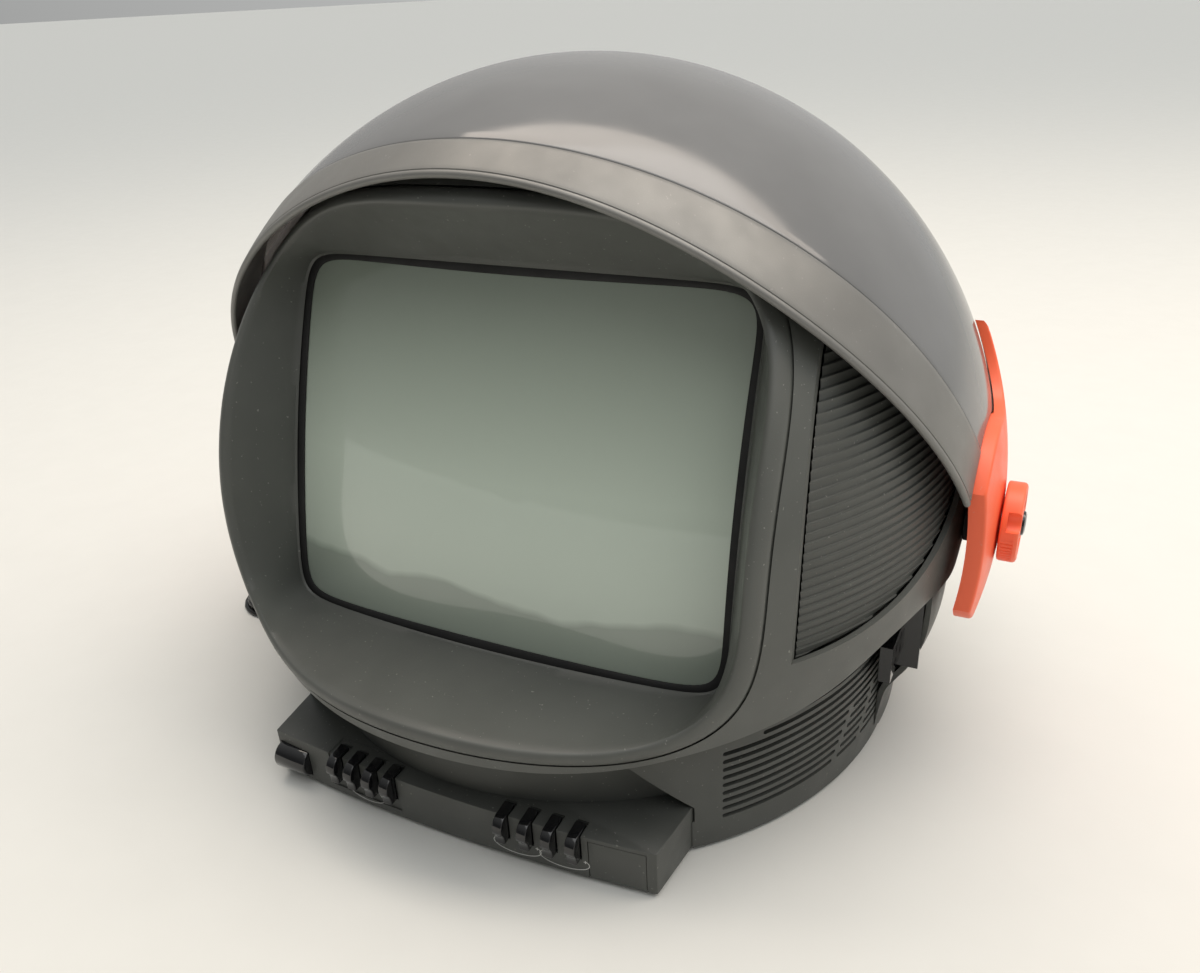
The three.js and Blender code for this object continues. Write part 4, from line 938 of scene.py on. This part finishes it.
def make_hinge_covers():
    """Each cover is a curved plate over the dome, filled in over the hinge, with rounded edges."""
    outline = cover_outline()
    count = len(outline)
    points = list(outline)
    for inset in (0.3, 0.8, 1.5, 2.6):
        for i, point in enumerate(outline):
            along = (outline[(i + 1) % count] - outline[i - 1]).normalized()
            inner = point + Vector((-along.y, along.x)) * inset
            if edge_distance(inner, outline) > inset * 0.9:
                points.append(inner)
    for i in range(-12, 16):
        for j in range(-14, 29):
            point = Vector((i * 5 + (j % 2) * 2.5, j * 4.3))
            inside = point.length < 54 or point.y > 20
            if inside and abs(point.x) < 80 and edge_distance(point, outline) > 4:
                points.append(point)
    found = geometry.delaunay_2d_cdt(points, [], [list(range(count))], 1, 1e-6)
    flat_points, faces = found[0], found[2]
    distance = [edge_distance(p, outline) for p in flat_points]
    border = [i for i, origin in enumerate(found[3]) if any(k < count for k in origin)]
    border.sort(key=lambda i: min(k for k in found[3][i] if k < count))
    for side, name in SIDES:
        vertices = []
        for layer in (0, 1):
            for p, far in zip(flat_points, distance):
                if layer == 0:
                    inward = max(0.0, COVER_EDGE - far)
                    radius = COVER_R - (COVER_EDGE - math.sqrt(max(0.0, COVER_EDGE ** 2 - inward ** 2)))
                else:
                    core = p.length < COVER_DISC + 0.3 and p.x > -COVER_CHORD - 0.5
                    radius = COVER_CORE_R if core else COVER_OVER_DOME_R
                x = math.sqrt(radius ** 2 - p.x ** 2 - p.y ** 2)
                vertices.append(HINGE + Vector((side * x, p.x, p.y)))
        total = len(flat_points)
        skin = [tuple(face) for face in faces]
        skin += [tuple(v + total for v in reversed(face)) for face in faces]
        for a, b in zip(border, border[1:] + border[:1]):
            skin.append((a, b, b + total, a + total))
        cover = add_object(f"hinge_cover_shell_{name}", vertices, skin, 40)
        cut(cover, cylinder("bore", BUSH_R + GAP, 225, 275, hinge_axis(side), 48))
        finish_piece(cover, "visor", "orange", (f"hinge_cover_{name}",))


def make_knobs():
    """Knobs with fine flutes round their lower half and a finger notch in front."""
    for side, name in SIDES:
        rings = []
        steps = 240
        for i in range(steps):
            angle = 2 * math.pi * i / steps
            down = -math.sin(angle)
            flute = 0.45 * max(0.0, math.sin(angle * 60)) * max(0.0, min(1.0, 3 * down + 0.6))
            profile = [(5.4, 255.6), (21.6, 255.6), (22.6, 256.1), (22.8, 257.0), (22.8 - flute, 257.4),
                       (22.8 - flute, 263.2), (22.8, 263.6), (22.7, 264.6), (22.1, 265.5), (20.8, 266.0),
                       (18.0, 266.0), (17.2, 265.6), (16.8, 265.0), (9.2, 265.0), (8.8, 265.7), (8.2, 266.0),
                       (7.7, 265.7), (7.6, 264.7), (5.4, 264.7)]
            ring = []
            for r, x in profile:
                ring.append(HINGE + Vector((side * x, r * math.cos(angle), r * math.sin(angle))))
            rings.append(ring)
        knob = loft("knob", rings, wrap=True, smooth_angle=30)
        notch_at = Vector((0, -22.5, 10.5))
        place = Matrix.Translation(HINGE + notch_at) @ Matrix.Rotation(math.pi / 2, 4, "Y")
        low, high = (259, 275) if side > 0 else (-275, -259)
        cut(knob, cylinder("notch", 6.2, low, high, place, 40))
        knob.name = f"ratchet_knob_{name}"
        finish_piece(knob, f"knob_{name}", "orange", (f"hinge_knob_{name}",))
        profile = [(0, 265.0), (6.9, 265.0), (7.0, 266.4), (6.6, 267.2), (5.2, 267.8), (0, 268.0)]
        cap = turned(f"knob_button_{name}", profile, hinge_axis(side), 48)
        finish_piece(cap, f"knob_{name}", "gloss_black", (f"knob_cap_{name}",))


# ---------- base ----------

BASE_R = 201.7
BAR_HALF_W = 126
BAR_TOP = 31.6
BAR_BACK_Y = -134
FRONT_WALL_R = 188


def bar_plan(inset):
    """The bar from above. Its front bows forward and its back is hidden in the drum."""
    half = BAR_HALF_W - inset
    outline = [(x, bar_front(x) + inset) for x in spread(-half, half, 64)]
    return outline + [(half + 7, BAR_BACK_Y - inset), (-half - 7, BAR_BACK_Y - inset)]


def front_bay(inset):
    """Above the bar the drum's wall is set back, in a bay that narrows towards the head."""
    low = BAR_HALF_W + 6 + inset
    high = 96 + inset
    outline = [(-low, BAR_TOP - 10), (low, BAR_TOP - 10), (low, BAR_TOP), (high, 76), (high, 140),
               (-high, 140), (-high, 76), (-low, BAR_TOP)]
    rings = [[(x, y, z) for x, z in outline] for y in (-230, -100)]
    bay = loft("bay", rings, caps="fill")
    cut(bay, cylinder("bay_wall", FRONT_WALL_R - inset, -50, 250, Matrix(), 240))
    return bay


def arc_slot(from_angle, to_angle, z, height):
    """A round-ended slot through the drum's wall. Angles run from the front."""
    half = height / 2
    first = from_angle + half / BASE_R
    last = to_angle - half / BASE_R
    middle = spread(last, first, 22)[1:-1]
    outline = half_round(last, z, half, -math.pi / 2, 7, half / BASE_R)
    outline += [(angle, z + half) for angle in middle]
    outline += half_round(first, z, half, math.pi / 2, 7, half / BASE_R)
    outline += [(angle, z - half) for angle in reversed(middle)]
    count = len(outline)
    vertices = []
    for radius in (BASE_R - 9, BASE_R + 6):
        for angle, height_at in outline:
            vertices.append((radius * math.sin(angle), -radius * math.cos(angle), height_at))
    faces = []
    for i in range(count):
        j = (i + 1) % count
        faces.append((i, j, j + count, i + count))
    # The two curved sides are filled across the slot, so that they bend with the drum.
    upper = list(range(6, 28))
    lower = [0] + list(range(53, 32, -1))
    for shift in (0, count):
        faces.append(tuple(k + shift for k in range(7)))
        faces.append(tuple(k + shift for k in range(27, 34)))
        for a in range(21):
            faces.append((upper[a] + shift, upper[a + 1] + shift, lower[a + 1] + shift, lower[a] + shift))
    return add_object("slot", vertices, faces)


SLOT_LOWEST = 20.3
SLOT_PITCH = 5.4
SLOT_COUNT = 11


def make_drum():
    """The louvred drum, its top cut to follow the head's lower edge."""
    rounded_foot = [(0, 2), (BASE_R - 0.8, 2), (BASE_R, 2.8), (BASE_R, 126), (0, 126)]
    drum = turned("drum", rounded_foot, Matrix(), 240)
    cut(drum, front_bay(0))
    hollow = cylinder("hollow", BASE_R - WALL, -20, 160, Matrix(), 240)
    cut(hollow, front_bay(WALL))
    cut(drum, hollow)
    cut(drum, above_jaw(-1.6))
    cut(drum, upright_prism("bar_room", bar_plan(-GAP), -5, BAR_TOP + GAP))
    front = block("front", (-BAR_HALF_W - GAP, -215, -5), (BAR_HALF_W + GAP, -190.5, BAR_TOP + GAP))
    cut(drum, front)
    for row in range(SLOT_COUNT):
        z = SLOT_LOWEST + row * SLOT_PITCH
        start = math.radians(45.5 + max(0, row - 8) * 7)
        # Two slanting bars cross the slots and tie their lands together.
        lean = math.radians(0.16) * (z - 20)
        ties = [] if row > 5 else [math.radians(68.8) + lean, math.radians(76.5) + lean]
        edges = [start] + ties + [math.radians(86.5)]
        for side in (-1, 1):
            for a, b in zip(edges, edges[1:]):
                a += math.radians(0.7) if a != start else 0
                b -= math.radians(0.7) if b != edges[-1] else 0
                low, high = (a, b) if side > 0 else (-b, -a)
                cut(drum, arc_slot(low, high, z, 2.7))
    drum.name = "louvred_drum"
    finish_piece(drum, "chassis", "shell_dark", ("base_drum",))


def make_drum_liner():
    """A dark sheet behind the louvres: painted shade for the inside of the drum, seen through the slots."""
    rings = []
    for i in range(120):
        angle = 2 * math.pi * i / 120
        across = Vector((math.sin(angle), -math.cos(angle), 0))
        rings.append([across * 193 + Vector((0, 0, 6)), across * 193 + Vector((0, 0, 84)),
                      across * 191.5 + Vector((0, 0, 84)), across * 191.5 + Vector((0, 0, 6))])
    liner = loft("louvre_shade_sheet", rings[14:107], caps="strip")
    finish_piece(liner, "chassis", "dark_plastic")


SHOULDER_SLOTS = 7


def make_rear_cover():
    """The bowl-shaped cover, with upright slots in its front shoulders."""
    bowl = [(203, 2.4), (205, 20), (208.4, 38), (213.4, 47), (219.4, 57), (224.6, 69), (227.8, 82),
            (228.8, 94), (228.8, 120)]
    outer = [(p.x, p.z) for p in smooth_curve([(r, 0, z) for r, z in bowl], 5)]
    profile = outer + [(225.8, 120)] + [(r - 3, z + 1.6) for r, z in reversed(outer[:-1])]
    profile.append((200, 2.4))
    cover = turned("cover", profile, Matrix.Translation((0, HINGE.y, 0)), 240, closed=True)
    cut(cover, cylinder("hub", BASE_R + GAP, -10, 200, Matrix(), 240))
    cut(cover, above_jaw(-1.6))
    cut(cover, block("front", (-300, -300, -10), (300, -21, 300)))
    for i in range(SHOULDER_SLOTS):
        angle = math.radians(3 + i * 2.4)
        for side in (-1, 1):
            across = Vector((side * math.cos(angle), math.sin(angle), 0))
            centre = Vector((0, HINGE.y, 84 - i * 1.5)) + across * 228
            slot = block("slot", (-8, -1.3, -15), (8, 1.3, 15))
            turn = Matrix.Rotation(math.atan2(across.y, across.x), 4, "Z")
            slot.data.transform(Matrix.Translation(centre * MM) @ turn)
            cut(cover, slot)
    cut(cover, block("sockets", (-60, 200, 30), (40, 300, 72)))
    place = Matrix.Translation((RELIEF.x, 170, RELIEF.z)) @ Matrix.Rotation(-math.pi / 2, 4, "X")
    cut(cover, cylinder("hole", RELIEF_HOLE_R, 0, 90, place, 32))
    cover.name = "rear_bowl_cover"
    finish_piece(cover, "chassis", "shell_dark", ("rear_cover",))


# ---------- control bar ----------

KEYS = [-76, -63, -49.5, -36.5, 38.5, 53, 67, 81]
KEY_LOW = 15.5
KEY_TOP = 33.6
KEY_REACH = 8.5
KEY_NOSE = 7
KEY_HALF_W = 3
KEY_SLOT_HALF_W = 3.5
LEFT_BAY = (-82.5, -31)
POWER = (88, 120.5)
WINDOW = (-123.5, -100.5)
WINDOW_Z = 15.6
WINDOW_R = 8.6


def bar_front(x):
    """The bar's front face bows forward in the middle."""
    return -198 + 7.5 * (x / BAR_HALF_W) ** 2


def make_bar():
    """The hollow bar with its slots for the keys, the power button and the window."""
    bar = upright_prism("bar", bar_plan(0), 3, BAR_TOP)
    bevelled(bar, 0.7, 2, 40)
    cut(bar, upright_prism("hollow", bar_plan(2.4), -2, 29.2))
    low, high = LEFT_BAY
    bay = [(x, bar_front(x) + 0.9) for x in spread(low, high, 16)] + [(high, -215), (low, -215)]
    cut(bar, upright_prism("bay", bay, 8, 40))
    cut(bar, block("bay_top", (low, -215, 31.1), (high, -181, 40)))
    for x in KEYS:
        back = bar_front(x) + KEY_REACH + 2.6
        cut(bar, block("slot", (x - KEY_SLOT_HALF_W, -215, KEY_LOW - 0.6), (x + KEY_SLOT_HALF_W, back, 40)))
    cut(bar, block("power", (POWER[0], -215, 0), (POWER[1], -180, 29.2)))
    low = (WINDOW[0] - GAP, -215, WINDOW_Z - 9)
    high = (WINDOW[1] + GAP, -184, WINDOW_Z + 9)
    cut(bar, block("window", low, high))
    bar.name = "control_bar_body"
    finish_piece(bar, "chassis", "shell_dark", ("control_bar",))


def make_window():
    """Half-round infrared window with softened ends."""
    rings = []
    left, right = WINDOW
    sections = [(left, 0.8), (left + 0.25, 0.25), (left + 0.8, 0), (right - 0.8, 0), (right - 0.25, 0.25),
                (right, 0.8)]
    for x, shrink in sections:
        ring = [(x, -185, WINDOW_Z - WINDOW_R + shrink), (x, -191, WINDOW_Z - WINDOW_R + shrink)]
        for k in range(1, 24):
            angle = -math.pi / 2 - math.pi * k / 24
            r = WINDOW_R - shrink
            ring.append((x, -191 + r * math.cos(angle), WINDOW_Z + r * math.sin(angle)))
        ring += [(x, -191, WINDOW_Z + WINDOW_R - shrink), (x, -185, WINDOW_Z + WINDOW_R - shrink)]
        rings.append(ring)
    window = loft("infrared_lens", rings, caps="fill", smooth_angle=45)
    finish_piece(window, "chassis", "gloss_black", ("infrared_window",))


def make_keys():
    """Slim hooked keys that curl over the front edge of the bar."""
    for number, x in enumerate(KEYS, 1):
        front = bar_front(x)
        outline = [(front + KEY_REACH, KEY_TOP), (front + KEY_REACH, KEY_TOP - 4), (front + 3, KEY_TOP - 7),
                   (front + 3, KEY_LOW), (front - KEY_NOSE + 1.5, KEY_LOW)]
        curl = bezier([(front - KEY_NOSE + 1.5, KEY_LOW), (front - KEY_NOSE + 2.5, 20),
                       (front - KEY_NOSE - 0.5, 24)], 8)
        curl += bezier([(front - KEY_NOSE - 0.5, 24), (front - KEY_NOSE - 1.5, KEY_TOP - 3),
                        (front - 2, KEY_TOP - 0.6)], 8)
        outline += [(p.x, p.y) for p in curl[1:]]
        outline.append((front - 2, KEY_TOP - 0.6))
        key = prism(f"hook_key_{number}", outline, x - KEY_HALF_W, x + KEY_HALF_W)
        bevelled(key, 0.6, 3, 40)
        finish_piece(key, f"key_{number}_body", "gloss_black", (f"key_{number}",))


def make_power_button():
    """The wide button at the bar's right end, flush with its front."""
    outline = [(x, bar_front(x)) for x in spread(POWER[0] + GAP, POWER[1] - GAP, 8)]
    outline += [(POWER[1] - GAP, -184.5), (POWER[0] + GAP, -184.5)]
    button = upright_prism("power_key", outline, 3.6, 28.85)
    bevelled(button, 0.35, 2, 40)
    finish_piece(button, "power", "shell_dark", ("power_button",))


PRINT_WIDTH = 0.45


def print_line(name, points):
    """A thin printed line on the bar's front face, through (x, z) points with their normals."""
    rings = []
    for x, z, nx, nz in points:
        y = bar_front(x)
        ring = []
        for a, b in ((-1, 0.02), (1, 0.02), (1, -0.06), (-1, -0.06)):
            ring.append((x + nx * a * PRINT_WIDTH / 2, y + b, z + nz * a * PRINT_WIDTH / 2))
        rings.append(ring)
    line = loft(name, rings, caps="fill")
    finish_piece(line, "chassis", "shell_dark", material=materials["print"])


def make_print():
    """Open ovals under pairs of keys, with a minus and a plus sign by the two keys of a pair."""
    for number, (centre, half) in enumerate(((-56.2, 13.4), (45.8, 14.5), (74, 14.5)), 1):
        points = []
        for k in range(41):
            angle = math.radians(158 + 224 * k / 40)
            across = math.cos(angle)
            up = math.sin(angle)
            points.append((centre + half * across, 11.4 + 5.4 * up, across, up))
        print_line(f"printed_oval_{number}", points)
        for sign, at in (("minus", centre - half + 2.2), ("plus", centre + half - 2.2)):
            print_line(f"printed_{sign}_{number}", [(at - 1, 13.6, 0, 1), (at + 1, 13.6, 0, 1)])
            if sign == "plus":
                print_line(f"printed_upright_{number}", [(at, 12.6, 1, 0), (at, 14.6, 1, 0)])


# ---------- everything together ----------

def dress_cad_nodes():
    """Better materials for the CAD nodes that stay."""
    slots = {s["node"]: s["material_slot"] for s in frame["record"]["subparts"]}
    for name, node in frame["nodes"].items():
        node.data.materials.clear()
        node.data.materials.append(materials[slots[name]])


make_camera()
materials = make_materials()
make_cord()
make_floor()
light_the_set()
dress_cad_nodes()
make_cabinets()
make_grilles()
make_neck_cover()
make_rear_screws()
make_bezel()
make_tube_face()
make_dome()
make_band()
make_hinge_covers()
make_knobs()
make_drum()
make_drum_liner()
make_rear_cover()
make_bar()
make_window()
make_keys()
make_power_button()
make_print()
